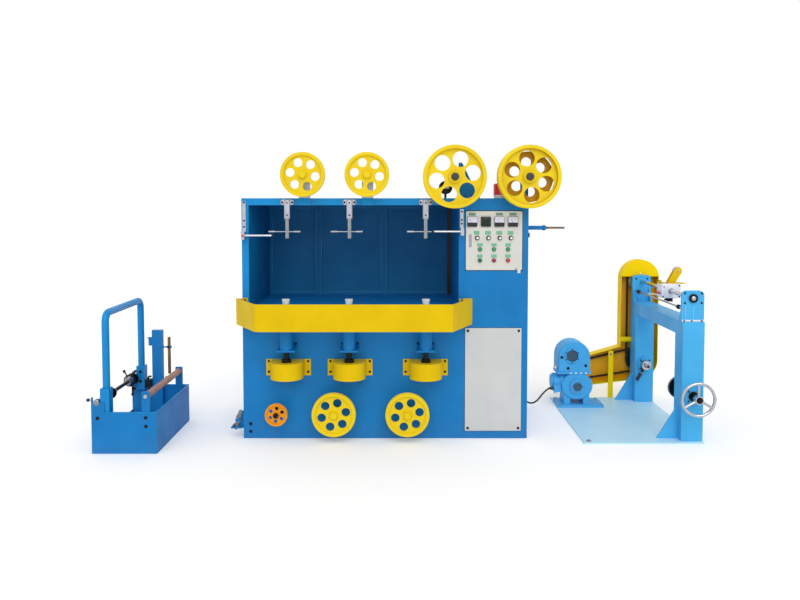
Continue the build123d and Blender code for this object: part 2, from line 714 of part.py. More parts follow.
def make_tape_guides():
    """The chrome guides that hang from the roof's front edge over the spindles."""
    head_width, head_depth, head_height = GUIDE_HEAD
    body_width, body_depth = GUIDE_BODY
    bar_width, bar_depth = GUIDE_BAR
    body_bottom = BAY_TOP - GUIDE_BODY_DROP
    pin_z = BAY_TOP - GUIDE_PIN_DROP
    with BuildPart() as guides:
        for x in SPINDLE_PLACES:
            with BuildSketch(Plane.XZ.offset(-FRONT)):
                with Locations((x, BAY_TOP + head_height / 2)):
                    SlotOverall(head_width, head_height)
            extrude(amount=head_depth)
            block(
                (x - body_width / 2, x + body_width / 2),
                (FRONT - body_depth, FRONT),
                (body_bottom, BAY_TOP + head_height),
            )
            block(
                (x - bar_width / 2, x + bar_width / 2),
                (FRONT - body_depth, FRONT - body_depth + bar_depth),
                (BAY_TOP - GUIDE_BAR_DROP, body_bottom),
            )
            pin_y = FRONT - body_depth + bar_depth / 2
            left, right = x + GUIDE_PIN_SPAN[0], x + GUIDE_PIN_SPAN[1]
            bush_radius, bush_length = GUIDE_BUSH
            for low, high, radius in (
                (left, right, GUIDE_PIN_RADIUS),
                (left, left + bush_length, bush_radius),
                (right - bush_length, right, bush_radius),
            ):
                bar((low, pin_y, pin_z), (high, pin_y, pin_z), radius)
    save(guides, "tape_guides")


def make_guide_arms():
    """The strips beside the bay, each with a clamp and a round bar over the bay's mouth."""
    width, depth = ARM_STRIP
    arms = (
        (LEFT + ARM_INSET, LEFT_ARM_DROPS, ARM_REACH),
        (CABINET_LEFT + ARM_INSET, RIGHT_ARM_DROPS, -ARM_REACH),
    )
    with BuildPart() as guide_arms:
        for low_x, drops, reach in arms:
            span = (UNIT_HEIGHT - drops[0], UNIT_HEIGHT - drops[1])
            middle = low_x + width / 2
            bar_z = span[0] + ARM_DROP
            bar_y = FRONT - depth - ARM_CLAMP / 2
            block((low_x, low_x + width), (FRONT - depth, FRONT), span)
            block(
                (low_x, low_x + width),
                (FRONT - depth - ARM_CLAMP, FRONT - depth),
                (bar_z - ARM_CLAMP / 2, bar_z + ARM_CLAMP / 2),
            )
            bar((middle, bar_y, bar_z), (middle + reach, bar_y, bar_z), ARM_BAR_RADIUS)
    save(guide_arms, "guide_arms")


def make_outlet_guide():
    """The tube and rod that lead the cable out at the cabinet's right side."""
    tube_radius, tube_length = OUTLET_TUBE
    rod_radius, rod_length = OUTLET_ROD
    y = FRONT + OUTLET_SETBACK
    tube_end = RIGHT + tube_length
    with BuildPart() as outlet:
        bar((RIGHT, y, OUTLET_HEIGHT), (tube_end, y, OUTLET_HEIGHT), tube_radius)
        bar(
            (tube_end - OUTLET_COLLAR, y, OUTLET_HEIGHT),
            (tube_end, y, OUTLET_HEIGHT),
            OUTLET_COLLAR,
        )
        bar((tube_end, y, OUTLET_HEIGHT), (tube_end + rod_length, y, OUTLET_HEIGHT), rod_radius)
    save(outlet, "outlet_guide")


def make_beacon():
    """The round warning lamp on the cabinet roof."""
    x = RIGHT - BEACON_FROM_RIGHT
    y = FRONT + BEACON_SETBACK
    with BuildPart() as base:
        bar((x, y, UNIT_HEIGHT), (x, y, UNIT_HEIGHT + BEACON_BASE), BEACON_RADIUS * 0.9)
    save(base, "beacon_base")
    with BuildPart() as lens:
        low = UNIT_HEIGHT + BEACON_BASE
        bar((x, y, low), (x, y, low + BEACON_HEIGHT), BEACON_RADIUS)
        fillet(lens.edges().sort_by(Axis.Z)[-1], BEACON_RADIUS / 3)
    save(lens, "beacon_lens")


def make_lower_wheels():
    """The three cable wheels along the foot of the housing and their axles."""
    sizes = (SMALL_WHEEL, GUIDE_WHEEL, GUIDE_WHEEL)
    for index, (size, x, turn) in enumerate(zip(sizes, LOWER_WHEEL_PLACES, LOWER_TURNS), 1):
        save(make_wheel(size, x, LOWER_WHEEL_HEIGHT, turn), f"lower_wheel_{index}")
    with BuildPart() as axles:
        for size, x in zip(sizes, LOWER_WHEEL_PLACES):
            add_axle(size, x, LOWER_WHEEL_HEIGHT, FRONT)
            bar(
                (x, FRONT, LOWER_WHEEL_HEIGHT),
                (x, FRONT - FLANGE_THICK, LOWER_WHEEL_HEIGHT),
                AXLE_FLANGE,
            )
    save(axles, "lower_axles")


def make_top_wheels():
    """The two guide wheels over the bay, on flat brackets at the roof's front edge."""
    for index, x in enumerate(TOP_WHEEL_PLACES, 1):
        save(make_wheel(GUIDE_WHEEL, x, TOP_WHEEL_HEIGHT, TOP_TURN), f"top_wheel_{index}")
    with BuildPart() as brackets:
        for x in TOP_WHEEL_PLACES:
            block(
                (x - BRACKET_WIDTH / 2, x + BRACKET_WIDTH / 2),
                (FRONT - BRACKET_SHEET, FRONT),
                (BAY_TOP, TOP_WHEEL_HEIGHT),
            )
            bar(
                (x, FRONT, TOP_WHEEL_HEIGHT),
                (x, FRONT - BRACKET_SHEET, TOP_WHEEL_HEIGHT),
                BRACKET_WIDTH / 2,
            )
            add_axle(GUIDE_WHEEL, x, TOP_WHEEL_HEIGHT, FRONT)
    save(brackets, "top_wheel_brackets")


def make_capstans():
    """The two large capstan wheels over the control cabinet and their supports."""
    plate_front = FRONT + CAPSTAN_SETBACK
    for index, (x, turn) in enumerate(zip(CAPSTAN_PLACES, CAPSTAN_TURNS), 1):
        two_webs = index == len(CAPSTAN_PLACES)
        save(make_wheel(CAPSTAN, x, CAPSTAN_HEIGHT, turn, two_webs), f"capstan_wheel_{index}")
    plate_left = CABINET_LEFT
    bearing_front = CABLE_Y + CAPSTAN.width / 2 + CAPSTAN_PLATE
    with BuildPart() as supports:
        with BuildSketch(Plane.XZ.offset(-plate_front - CAPSTAN_PLATE)):
            with BuildLine():
                Polyline(
                    (plate_left, UNIT_HEIGHT),
                    (plate_left + CAPSTAN_PLATE_FOOT, UNIT_HEIGHT),
                    (plate_left + CAPSTAN_PLATE, CAPSTAN_PLATE_TOP),
                    (plate_left, CAPSTAN_PLATE_TOP),
                    close=True,
                )
            make_face()
        extrude(amount=CAPSTAN_PLATE)
        block(
            (CAPSTAN_PLACES[0], plate_left + CAPSTAN_PLATE),
            (plate_front, plate_front + CAPSTAN_PLATE),
            (CAPSTAN_HEIGHT - BEARING_RADIUS, CAPSTAN_HEIGHT + BEARING_RADIUS),
        )
        block(
            (RIGHT - CAPSTAN_POST, RIGHT),
            (plate_front, plate_front + CAPSTAN_PLATE),
            (UNIT_HEIGHT, CAPSTAN_HEIGHT),
        )
        for x in CAPSTAN_PLACES:
            bar(
                (x, plate_front + CAPSTAN_PLATE, CAPSTAN_HEIGHT),
                (x, bearing_front, CAPSTAN_HEIGHT),
                BEARING_RADIUS,
            )
            add_axle(CAPSTAN, x, CAPSTAN_HEIGHT, plate_front + CAPSTAN_PLATE)
    save(supports, "capstan_supports")
    x = CABINET_LEFT - COUNTER_RADIUS * 2
    z = UNIT_HEIGHT + COUNTER_RADIUS * 1.6
    with BuildPart() as counter:
        block(
            (x - COUNTER_POST / 2, x + COUNTER_POST / 2),
            (plate_front, plate_front + COUNTER_POST),
            (UNIT_HEIGHT, z),
        )
        bar((x, plate_front + COUNTER_POST, z), (x, plate_front - COUNTER_WIDTH, z), COUNTER_RADIUS)
    save(counter, "cable_counter")


def make_lever_bracket():
    """The half-round bracket with a lever, low on the unit's left side."""
    y = FRONT + LEVER_BASE[1] / 2
    with BuildPart() as bracket:
        with BuildSketch(Plane.XZ.offset(-y)):
            with Locations((LEFT, LEVER_HEIGHT)):
                Circle(LEVER_PLATE)
            with Locations((LEFT + LEVER_PLATE, LEVER_HEIGHT)):
                Rectangle(LEVER_PLATE * 2, LEVER_PLATE * 3, mode=Mode.SUBTRACT)
        extrude(amount=LEVER_SHEET)
        low = LEVER_HEIGHT - LEVER_PLATE * 0.9
        block(
            (LEFT - LEVER_PLATE - LEVER_BASE[0] / 2, LEFT - LEVER_PLATE / 4),
            (y - LEVER_BASE[1] / 2, y + LEVER_BASE[1] / 2),
            (low, low + LEVER_BASE[2]),
        )
        pin_x = LEFT - LEVER_PLATE * LEVER_PIN_SHARE
        plate_front = y - LEVER_SHEET
        with BuildSketch(Plane.XZ.offset(-plate_front)):
            with Locations((pin_x, LEVER_HEIGHT)):
                SlotOverall(LEVER_LENGTH, LEVER_WIDTH, rotation=LEVER_LEAN)
        extrude(amount=LEVER_SHEET)
        bar(
            (pin_x, plate_front, LEVER_HEIGHT),
            (pin_x, plate_front - LEVER_SHEET * 3, LEVER_HEIGHT),
            LEVER_PIN,
        )
    save(bracket, "lever_bracket")


def make_payoff_trough():
    """The pay-off stand's trough, open on its left, and the arch that stands in it."""
    with BuildPart() as trough:
        block((TROUGH_LEFT, TROUGH_RIGHT), (TROUGH_FRONT, TROUGH_BACK), (0, TROUGH_HEIGHT))
        inner_x = (TROUGH_LEFT + TROUGH_SHEET, TROUGH_RIGHT - TROUGH_SHEET)
        block(inner_x, TROUGH_WALLS, (TROUGH_SHEET, TROUGH_HEIGHT), mode=Mode.SUBTRACT)
        block((TROUGH_LEFT, inner_x[0]), TROUGH_WALLS, (TROUGH_SILL, TROUGH_HEIGHT), mode=Mode.SUBTRACT)
        for outside in (TROUGH_FRONT + TROUGH_SHEET, TROUGH_BACK):
            with BuildSketch(Plane.XZ.offset(-outside)):
                with BuildLine():
                    Polyline(
                        (TROUGH_LEFT, TROUGH_HEIGHT),
                        (TROUGH_LEFT, SEAT_TAB_TOP),
                        (TROUGH_LEFT + SEAT_TAB, SEAT_TAB_TOP),
                        (TROUGH_LEFT + SEAT_TAB, PAYOFF_AXIS_HEIGHT),
                        (ARCH_X, PAYOFF_AXIS_HEIGHT),
                        (ARCH_X, TROUGH_HEIGHT),
                        close=True,
                    )
                make_face()
                with Locations((PAYOFF_X, PAYOFF_AXIS_HEIGHT)):
                    Circle(PAYOFF_BEARING + RUNNING, mode=Mode.SUBTRACT)
            extrude(amount=TROUGH_SHEET)
    save(trough, "payoff_trough")
    block_width, block_depth, block_height = CLAMP_BLOCK
    with BuildPart() as arch:
        with BuildLine() as centre_line:
            FilletPolyline(
                (ARCH_X, ARCH_ENDS[0], TROUGH_HEIGHT),
                (ARCH_X, ARCH_ENDS[0], ARCH_TOP),
                (ARCH_X, ARCH_ENDS[1], ARCH_TOP),
                (ARCH_X, ARCH_ENDS[1], TROUGH_HEIGHT),
                radius=ARCH_BEND,
            )
        with BuildSketch(Plane(origin=(ARCH_X, ARCH_ENDS[0], TROUGH_HEIGHT), z_dir=(0, 0, 1))):
            Circle(ARCH_RADIUS)
        sweep(path=centre_line.line)
        for end, wall in zip(ARCH_ENDS, TROUGH_WALLS):
            inner = end + math.copysign(block_depth / 2, end - wall)
            block(
                (ARCH_X - block_width / 2, ARCH_X + block_width / 2),
                (min(wall, inner), max(wall, inner)),
                (TROUGH_HEIGHT - CLAMP_DROP, TROUGH_HEIGHT - CLAMP_DROP + block_height),
            )
    save(arch, "payoff_arch")


def make_payoff_shaft():
    """The reel shaft in its open seats, with the chuck at its back end and a cone at its front."""
    flange_radius, flange_width = CHUCK_FLANGE
    hub_radius, hub_length = CHUCK_HUB
    lever_radius, lever_reach = CHUCK_LEVER
    pin_radius, pin_reach = CHUCK_PIN
    chuck_back = ARCH_ENDS[1] - ARCH_FROM_END
    chuck_front = chuck_back - hub_length
    cone_end = TROUGH_FRONT + TROUGH_DEPTH / 3
    with BuildPart() as shaft:
        bar(
            (PAYOFF_X, TROUGH_FRONT, PAYOFF_AXIS_HEIGHT),
            (PAYOFF_X, TROUGH_BACK, PAYOFF_AXIS_HEIGHT),
            PAYOFF_SHAFT_RADIUS,
        )
        for low, high, radius in (
            (TROUGH_FRONT, TROUGH_FRONT + 4 * TROUGH_SHEET, PAYOFF_BEARING),
            (TROUGH_BACK - 4 * TROUGH_SHEET, TROUGH_BACK, PAYOFF_BEARING),
            (chuck_front, chuck_back, hub_radius),
            (chuck_front, chuck_front + flange_width, flange_radius),
            (chuck_back - flange_width, chuck_back, flange_radius),
        ):
            bar((PAYOFF_X, low, PAYOFF_AXIS_HEIGHT), (PAYOFF_X, high, PAYOFF_AXIS_HEIGHT), radius)
        for sign, start in ((-1, chuck_front), (1, cone_end)):
            origin = (PAYOFF_X, start, PAYOFF_AXIS_HEIGHT)
            with BuildSketch(Plane(origin=origin, z_dir=(0, sign, 0))) as cone:
                Circle(PAYOFF_CONE_RADIUS)
            extrude(cone.sketch, amount=PAYOFF_CONE_LENGTH, taper=CONE_TAPER)
        lever_y = chuck_back - flange_width / 2
        bar(
            (PAYOFF_X, lever_y, PAYOFF_AXIS_HEIGHT),
            (PAYOFF_X, lever_y, PAYOFF_AXIS_HEIGHT - lever_reach),
            lever_radius,
        )
        for lean in (-1, 1):
            bar(
                (PAYOFF_X, chuck_front + flange_width / 2, PAYOFF_AXIS_HEIGHT),
                (
                    PAYOFF_X + lean * pin_reach * math.sin(math.radians(CONE_TAPER * 2)),
                    chuck_front + flange_width / 2,
                    PAYOFF_AXIS_HEIGHT + pin_reach,
                ),
                pin_radius,
            )
    save(shaft, "payoff_reel_shaft")


def make_payoff_post():
    """The post on its back plate, the guide rod that it holds and the shaft brake beside it."""
    low = TROUGH_LEFT + POST_FROM_LEFT
    high = low + POST_WIDTH
    back = TROUGH_WALLS[1]
    rod_x = TROUGH_RIGHT - GUIDE_ROD_FROM_RIGHT
    rod_y = back - POST_DEPTH / 2
    lug_width, lug_height = BRACE_LUG
    with BuildPart() as post:
        block((ARCH_X + CLAMP_BLOCK[0] / 2, high), (back - POST_SHEET, back), (TROUGH_SHEET, TROUGH_HEIGHT))
        block((low, high), (back - POST_DEPTH, back), (TROUGH_SHEET, POST_TOP))
        block(
            (low - lug_width, low),
            (back - POST_DEPTH, back - POST_DEPTH + POST_SHEET),
            (BRACE_HEIGHT - lug_height, BRACE_HEIGHT + CROSS_ROD_RADIUS),
        )
        brace_y = back - POST_DEPTH + POST_SHEET / 2
        bar((low, brace_y, BRACE_HEIGHT), (ARCH_X, brace_y, BRACE_HEIGHT), CROSS_ROD_RADIUS)
        bar(
            (ARCH_X, ARCH_ENDS[1] - ARCH_RADIUS, BRACE_HEIGHT),
            (ARCH_X, ARCH_ENDS[1] + ARCH_RADIUS, BRACE_HEIGHT),
            ARCH_RADIUS * 2,
            mode=Mode.SUBTRACT,
        )
        bar((low, rod_y, CROSS_ROD_HEIGHT), (rod_x, rod_y, CROSS_ROD_HEIGHT), CROSS_ROD_RADIUS)
        bar(
            (rod_x - GUIDE_ROD_CLAMP / 2, rod_y, CROSS_ROD_HEIGHT),
            (rod_x + GUIDE_ROD_CLAMP / 2, rod_y, CROSS_ROD_HEIGHT),
            GUIDE_ROD_RADIUS,
        )
        bar((rod_x, rod_y, GUIDE_ROD_SPAN[0]), (rod_x, rod_y, GUIDE_ROD_SPAN[1]), GUIDE_ROD_RADIUS)
    save(post, "payoff_post")
    width, depth, height = BRAKE_BLOCK
    brake_left = low - width
    brake_front = back - POST_SHEET - depth
    with BuildPart() as brake:
        block((brake_left, low), (brake_front, back - POST_SHEET), (TROUGH_HEIGHT, TROUGH_HEIGHT + height))
        fillet(brake.edges().filter_by(Axis.Y).group_by(Axis.Z)[-1], POST_SHEET)
        lever_y = brake_front + depth / 2
        lever_x = brake_left + width / 3
        top = TROUGH_HEIGHT + height
        with BuildLine() as handle:
            FilletPolyline(
                (lever_x, lever_y, top - POST_SHEET),
                (lever_x, lever_y, top + height / 2),
                (low - BRAKE_LEVER, lever_y, top + height / 3),
                radius=2 * BRAKE_LEVER,
            )
        with BuildSketch(Plane(origin=(lever_x, lever_y, top - POST_SHEET), z_dir=(0, 0, 1))):
            Circle(BRAKE_LEVER)
        sweep(path=handle.line)
    save(brake, "payoff_brake")


def make_payoff_roller():
    """The copper-coloured roller along the trough's right side and its two plates."""
    roller_x = TROUGH_RIGHT - ROLLER_FROM_RIGHT
    width, sheet, top = ROLLER_PLATE
    plates = (
        (TROUGH_WALLS[0], TROUGH_WALLS[0] + sheet),
        (TROUGH_WALLS[1] - sheet, TROUGH_WALLS[1]),
    )
    with BuildPart() as roller_plates:
        for span in plates:
            block((roller_x - width / 2, roller_x + width / 2), span, (TROUGH_HEIGHT / 2, top))
        fillet(roller_plates.edges().filter_by(Axis.Y).group_by(Axis.Z)[-1], sheet)
        bar(
            (roller_x, TROUGH_FRONT, ROLLER_HEIGHT),
            (roller_x, TROUGH_BACK, ROLLER_HEIGHT),
            PAYOFF_SHAFT_RADIUS + RUNNING,
            mode=Mode.SUBTRACT,
        )
    save(roller_plates, "payoff_roller_plates")
    with BuildPart() as roller:
        bar(
            (roller_x, plates[0][0], ROLLER_HEIGHT),
            (roller_x, plates[1][1], ROLLER_HEIGHT),
            PAYOFF_SHAFT_RADIUS,
        )
        bar(
            (roller_x, plates[0][1] + END_FLOAT, ROLLER_HEIGHT),
            (roller_x, plates[1][0] - END_FLOAT, ROLLER_HEIGHT),
            ROLLER_RADIUS,
        )
    save(roller, "payoff_roller")


def make_takeup_frame():
    """The take-up stand's base plate and gantry."""
    with BuildPart() as base:
        block((BASE_LEFT, BASE_RIGHT), (BASE_FRONT, BASE_BACK), (0, BASE_SHEET))
        with Locations(((BASE_LEFT + BASE_RIGHT) / 2, (BASE_FRONT + BASE_BACK) / 2, BASE_SHEET)):
            with GridLocations(BASE_WIDTH - 2 * BASE_HOLE_INSET, BASE_DEPTH - 2 * BASE_HOLE_INSET, 2, 2):
                Hole(BASE_HOLE)
    save(base, "takeup_base")
    column_x = (COLUMN_X - COLUMN_WIDTH / 2, COLUMN_X + COLUMN_WIDTH / 2)
    for name, span in (("front", FRONT_COLUMN), ("rear", REAR_COLUMN)):
        flange = span[0] - BEARING_FLANGE_THICK
        with BuildPart() as column:
            block(column_x, span, (BASE_SHEET, COLUMN_TOP))
            middle = (span[0] + span[1]) / 2
            with BuildSketch(Plane.XZ.offset(-middle - GUSSET_SHEET / 2)):
                with BuildLine():
                    Polyline(
                        (column_x[0], BASE_SHEET),
                        (column_x[0], BASE_SHEET + GUSSET_RISE),
                        (column_x[0] - GUSSET_FOOT, BASE_SHEET),
                        close=True,
                    )
                make_face()
            extrude(amount=GUSSET_SHEET)
            bar((COLUMN_X, span[0], REEL_AXIS), (COLUMN_X, flange, REEL_AXIS), BEARING_FLANGE)
            bar(
                (COLUMN_X, flange, REEL_AXIS),
                (COLUMN_X, span[1], REEL_AXIS),
                REEL_SHAFT_RADIUS + RUNNING,
                mode=Mode.SUBTRACT,
            )
        save(column, f"takeup_{name}_column")
    with BuildPart() as beam:
        block(column_x, (FRONT_COLUMN[1], REAR_COLUMN[0]), (COLUMN_TOP - GANTRY_HEIGHT, COLUMN_TOP))
    save(beam, "takeup_beam")


def make_traverse():
    """The traverse's bearing plates, its turning shaft and its stop rod."""
    width, thick, height = BEARING_PLATE
    rib_width, rib_reach, rib_height = BEARING_RIB
    stop_x = COLUMN_X - STOP_ROD_SETOFF
    stop_z = COLUMN_TOP + STOP_ROD_RISE
    with BuildPart() as plates:
        for span, sign in zip(PLATE_PLACES, (1, -1)):
            with BuildSketch(Plane.XZ.offset(-span[1])):
                with Locations((COLUMN_X, COLUMN_TOP + height / 2)):
                    outline = Rectangle(width, height)
                    fillet(outline.vertices().group_by(Axis.Y)[-1], BEARING_PLATE_ROUND)
            extrude(amount=thick)
            inner = span[1] if sign > 0 else span[0]
            for side in (-1, 1):
                rib_x = COLUMN_X + side * (width / 2 - rib_width)
                with BuildSketch(Plane.YZ.offset(rib_x - rib_width / 2)):
                    with BuildLine():
                        Polyline(
                            (inner, COLUMN_TOP),
                            (inner + sign * rib_reach, COLUMN_TOP),
                            (inner, COLUMN_TOP + rib_height),
                            close=True,
                        )
                    make_face()
                extrude(amount=rib_width)
        for x, z, radius in (
            (COLUMN_X, ROD_HEIGHT, ROD_RADIUS + RUNNING),
            (stop_x, stop_z, STOP_ROD_RADIUS),
        ):
            bar((x, PLATE_PLACES[0][0], z), (x, PLATE_PLACES[1][1], z), radius, mode=Mode.SUBTRACT)
    save(plates, "traverse_plates")
    nut_radius, nut_width = ROD_NUT
    front = PLATE_PLACES[0][0] - END_FLOAT
    lane = BELT_FRONT + BELT_LANES[0]
    end = (COLUMN_X, lane + BELT_WIDTH, ROD_HEIGHT)
    with BuildPart() as shaft:
        bar((COLUMN_X, front - nut_width, ROD_HEIGHT), end, ROD_RADIUS)
        with BuildSketch(Plane(origin=(COLUMN_X, front, ROD_HEIGHT), z_dir=(0, -1, 0))) as nut:
            RegularPolygon(nut_radius, 8)
        extrude(nut.sketch, amount=nut_width)
        bar(
            (COLUMN_X, PLATE_PLACES[0][1] + END_FLOAT, ROD_HEIGHT),
            (COLUMN_X, PLATE_PLACES[0][1] + END_FLOAT + nut_width, ROD_HEIGHT),
            nut_radius * 0.8,
        )
        bar((COLUMN_X, lane, ROD_HEIGHT), end, BELT_PULLEY_RADIUS)
    save(shaft, "traverse_shaft")
    collar_radius, collar_width = STOP_COLLAR
    low, high = PLATE_PLACES[0][1] + STOP_INSET, PLATE_PLACES[1][0] - STOP_INSET
    with BuildPart() as stop_rod:
        bar((stop_x, PLATE_PLACES[0][0], stop_z), (stop_x, PLATE_PLACES[1][1], stop_z), STOP_ROD_RADIUS)
        for start in (low, high - collar_width):
            bar((stop_x, start, stop_z), (stop_x, start + collar_width, stop_z), collar_radius)
    save(stop_rod, "traverse_stop_rod")


def make_carriage():
    """The carriage on the turning shaft, with its slanted arm and the cable's guide roller."""
    length_x, length_y, tall = CARRIAGE
    plate_x, plate_y, sheet = ARM_PLATE
    roller_radius, roller_width = GUIDE_ROLLER
    low_z, high_z = ROD_HEIGHT - tall / 2, ROD_HEIGHT + tall / 2
    span_y = (CARRIAGE_PLACE - length_y / 2, CARRIAGE_PLACE + length_y / 2)
    lean = math.radians(ARM_LEAN)
    foot = (COLUMN_X + ARM_LIP / 2, high_z + sheet / 2)
    tip = (foot[0] + ARM_LENGTH * math.cos(lean), foot[1] + ARM_LENGTH * math.sin(lean))
    with BuildPart() as carriage:
        block((COLUMN_X - length_x / 2, COLUMN_X + length_x / 2), span_y, (low_z, high_z))
        fillet(carriage.edges().filter_by(Axis.Y), CARRIAGE_ROUND)
        for side in (-1, 1):
            y = CARRIAGE_PLACE + side * length_y / 4
            bar((COLUMN_X, y, low_z - CAM_HEIGHT), (COLUMN_X, y, low_z + CARRIAGE_ROUND), CAM_RADIUS)
        left = COLUMN_X - length_x / 2
        plate_span = (CARRIAGE_PLACE - plate_y / 2, CARRIAGE_PLACE + plate_y / 2)
        block((left, left + plate_x), plate_span, (high_z - sheet / 2, high_z + sheet / 2))
        block((left, left + sheet), plate_span, (high_z - sheet / 2, high_z + ARM_LIP))
        for side in (-1, 1):
            outer = CARRIAGE_PLACE + side * (ARM_GAP / 2 + sheet / 2) - sheet / 2
            with BuildSketch(Plane.XZ.offset(-outer - sheet)):
                with Locations(((foot[0] + tip[0]) / 2, (foot[1] + tip[1]) / 2)):
                    SlotCenterToCenter(ARM_LENGTH, ARM_CHEEK, rotation=ARM_LEAN)
                with Locations((COLUMN_X, high_z - length_x)):
                    Rectangle(length_x * 3, length_x * 2, mode=Mode.SUBTRACT)
            extrude(amount=sheet)
        reach = ARM_GAP / 2 + sheet
        bar((tip[0], CARRIAGE_PLACE - reach, tip[1]), (tip[0], CARRIAGE_PLACE + reach, tip[1]), sheet)
        bar(
            (tip[0], CARRIAGE_PLACE - roller_width / 2, tip[1]),
            (tip[0], CARRIAGE_PLACE + roller_width / 2, tip[1]),
            roller_radius,
        )
        bar(
            (COLUMN_X, span_y[0], ROD_HEIGHT),
            (COLUMN_X, span_y[1], ROD_HEIGHT),
            ROD_RADIUS + RUNNING,
            mode=Mode.SUBTRACT,
        )
    save(carriage, "traverse_carriage")


def make_reel_centres():
    """The driven rear reel centre and the tailstock with its handwheel."""
    seat = REAR_COLUMN[0] - BEARING_FLANGE_THICK - END_FLOAT
    hub_radius, hub_length = DRIVE_HUB
    arm_radius, arm_length = DRIVE_ARM
    sleeve_radius, sleeve_start = DRIVE_ARM_SLEEVE
    lanes = [BELT_FRONT + lane for lane in BELT_LANES]
    arm_y = seat - hub_length / 2
    turn = math.radians(DRIVE_ARM_TURN)
    arm_end = (COLUMN_X + arm_length * math.cos(turn), REEL_AXIS + arm_length * math.sin(turn))
    sleeve_from = (
        COLUMN_X + arm_length * sleeve_start * math.cos(turn),
        REEL_AXIS + arm_length * sleeve_start * math.sin(turn),
    )
    with BuildPart() as drive:
        bar((COLUMN_X, seat, REEL_AXIS), (COLUMN_X, lanes[1] + BELT_WIDTH, REEL_AXIS), REEL_SHAFT_RADIUS)
        bar((COLUMN_X, seat - hub_length, REEL_AXIS), (COLUMN_X, seat, REEL_AXIS), hub_radius)
        bar((COLUMN_X, arm_y, REEL_AXIS), (arm_end[0], arm_y, arm_end[1]), arm_radius)
        bar((sleeve_from[0], arm_y, sleeve_from[1]), (arm_end[0], arm_y, arm_end[1]), sleeve_radius)
        with BuildSketch(Plane(origin=(COLUMN_X, seat - hub_length, REEL_AXIS), z_dir=(0, -1, 0))) as tip:
            Circle(REEL_SHAFT_RADIUS)
        extrude(tip.sketch, amount=hub_length, taper=CONE_TAPER)
        for lane in lanes:
            bar((COLUMN_X, lane, REEL_AXIS), (COLUMN_X, lane + BELT_WIDTH, REEL_AXIS), BELT_PULLEY_RADIUS)
    save(drive, "reel_drive_centre")
    sleeve_radius, sleeve_length = TAILSTOCK_SLEEVE
    flange_radius, flange_thick = REEL_FLANGE
    cone_back = FRONT_COLUMN[1] + SEAT_GAP
    flange_back = cone_back + sleeve_length
    outside = FRONT_COLUMN[0] - BEARING_FLANGE_THICK
    wheel_back = outside - TAILSTOCK_TRAVEL - HANDWHEEL_CLEAR
    hub_front = wheel_back - HANDWHEEL_HUB_WIDTH
    with BuildPart() as tailstock:
        bar((COLUMN_X, wheel_back, REEL_AXIS), (COLUMN_X, cone_back, REEL_AXIS), REEL_SHAFT_RADIUS)
        bar((COLUMN_X, hub_front, REEL_AXIS), (COLUMN_X, cone_back, REEL_AXIS), AXLE_RADIUS)
        bar((COLUMN_X, cone_back, REEL_AXIS), (COLUMN_X, flange_back, REEL_AXIS), sleeve_radius)
        bar(
            (COLUMN_X, flange_back, REEL_AXIS),
            (COLUMN_X, flange_back + flange_thick, REEL_AXIS),
            flange_radius,
        )
        with BuildSketch(Plane(origin=(COLUMN_X, flange_back + flange_thick, REEL_AXIS), z_dir=(0, 1, 0))):
            Circle(REEL_CONE_RADIUS)
        extrude(amount=REEL_CONE_LENGTH, taper=CONE_TAPER)
    save(tailstock, "tailstock_spindle")
    rim_y = hub_front + HANDWHEEL_HUB_WIDTH / 2
    with BuildPart() as handwheel:
        with BuildSketch(Plane.XY.offset(REEL_AXIS)):
            with Locations((COLUMN_X + HANDWHEEL_RADIUS - HANDWHEEL_RIM, rim_y)):
                Circle(HANDWHEEL_RIM)
        revolve(axis=Axis((COLUMN_X, 0, REEL_AXIS), (0, 1, 0)))
        bar(
            (COLUMN_X, hub_front, REEL_AXIS),
            (COLUMN_X, wheel_back - END_FLOAT, REEL_AXIS),
            HANDWHEEL_HUB,
        )
        for turn in range(HANDWHEEL_SPOKES):
            angle = math.radians(90 + 360 * turn / HANDWHEEL_SPOKES)
            reach = HANDWHEEL_RADIUS - HANDWHEEL_RIM
            bar(
                (COLUMN_X, rim_y, REEL_AXIS),
                (COLUMN_X + reach * math.cos(angle), rim_y, REEL_AXIS + reach * math.sin(angle)),
                SPOKE_RADIUS,
            )
        bar(
            (COLUMN_X, hub_front, REEL_AXIS),
            (COLUMN_X, wheel_back, REEL_AXIS),
            AXLE_RADIUS + RUNNING,
            mode=Mode.SUBTRACT,
        )
    save(handwheel, "handwheel")


def add_leg(start, end, start_radius, end_radius, plane, thick, mode=Mode.ADD):
    """Add a rounded leg between two points of a plane: two discs and the strip between."""
    with BuildSketch(plane) as leg:
        with BuildSketch(mode=Mode.PRIVATE) as discs:
            with Locations(start):
                Circle(start_radius)
            with Locations(end):
                Circle(end_radius)
        add(discs.sketch)
        make_hull(discs.sketch.edges())
    extrude(leg.sketch, amount=thick, mode=mode)


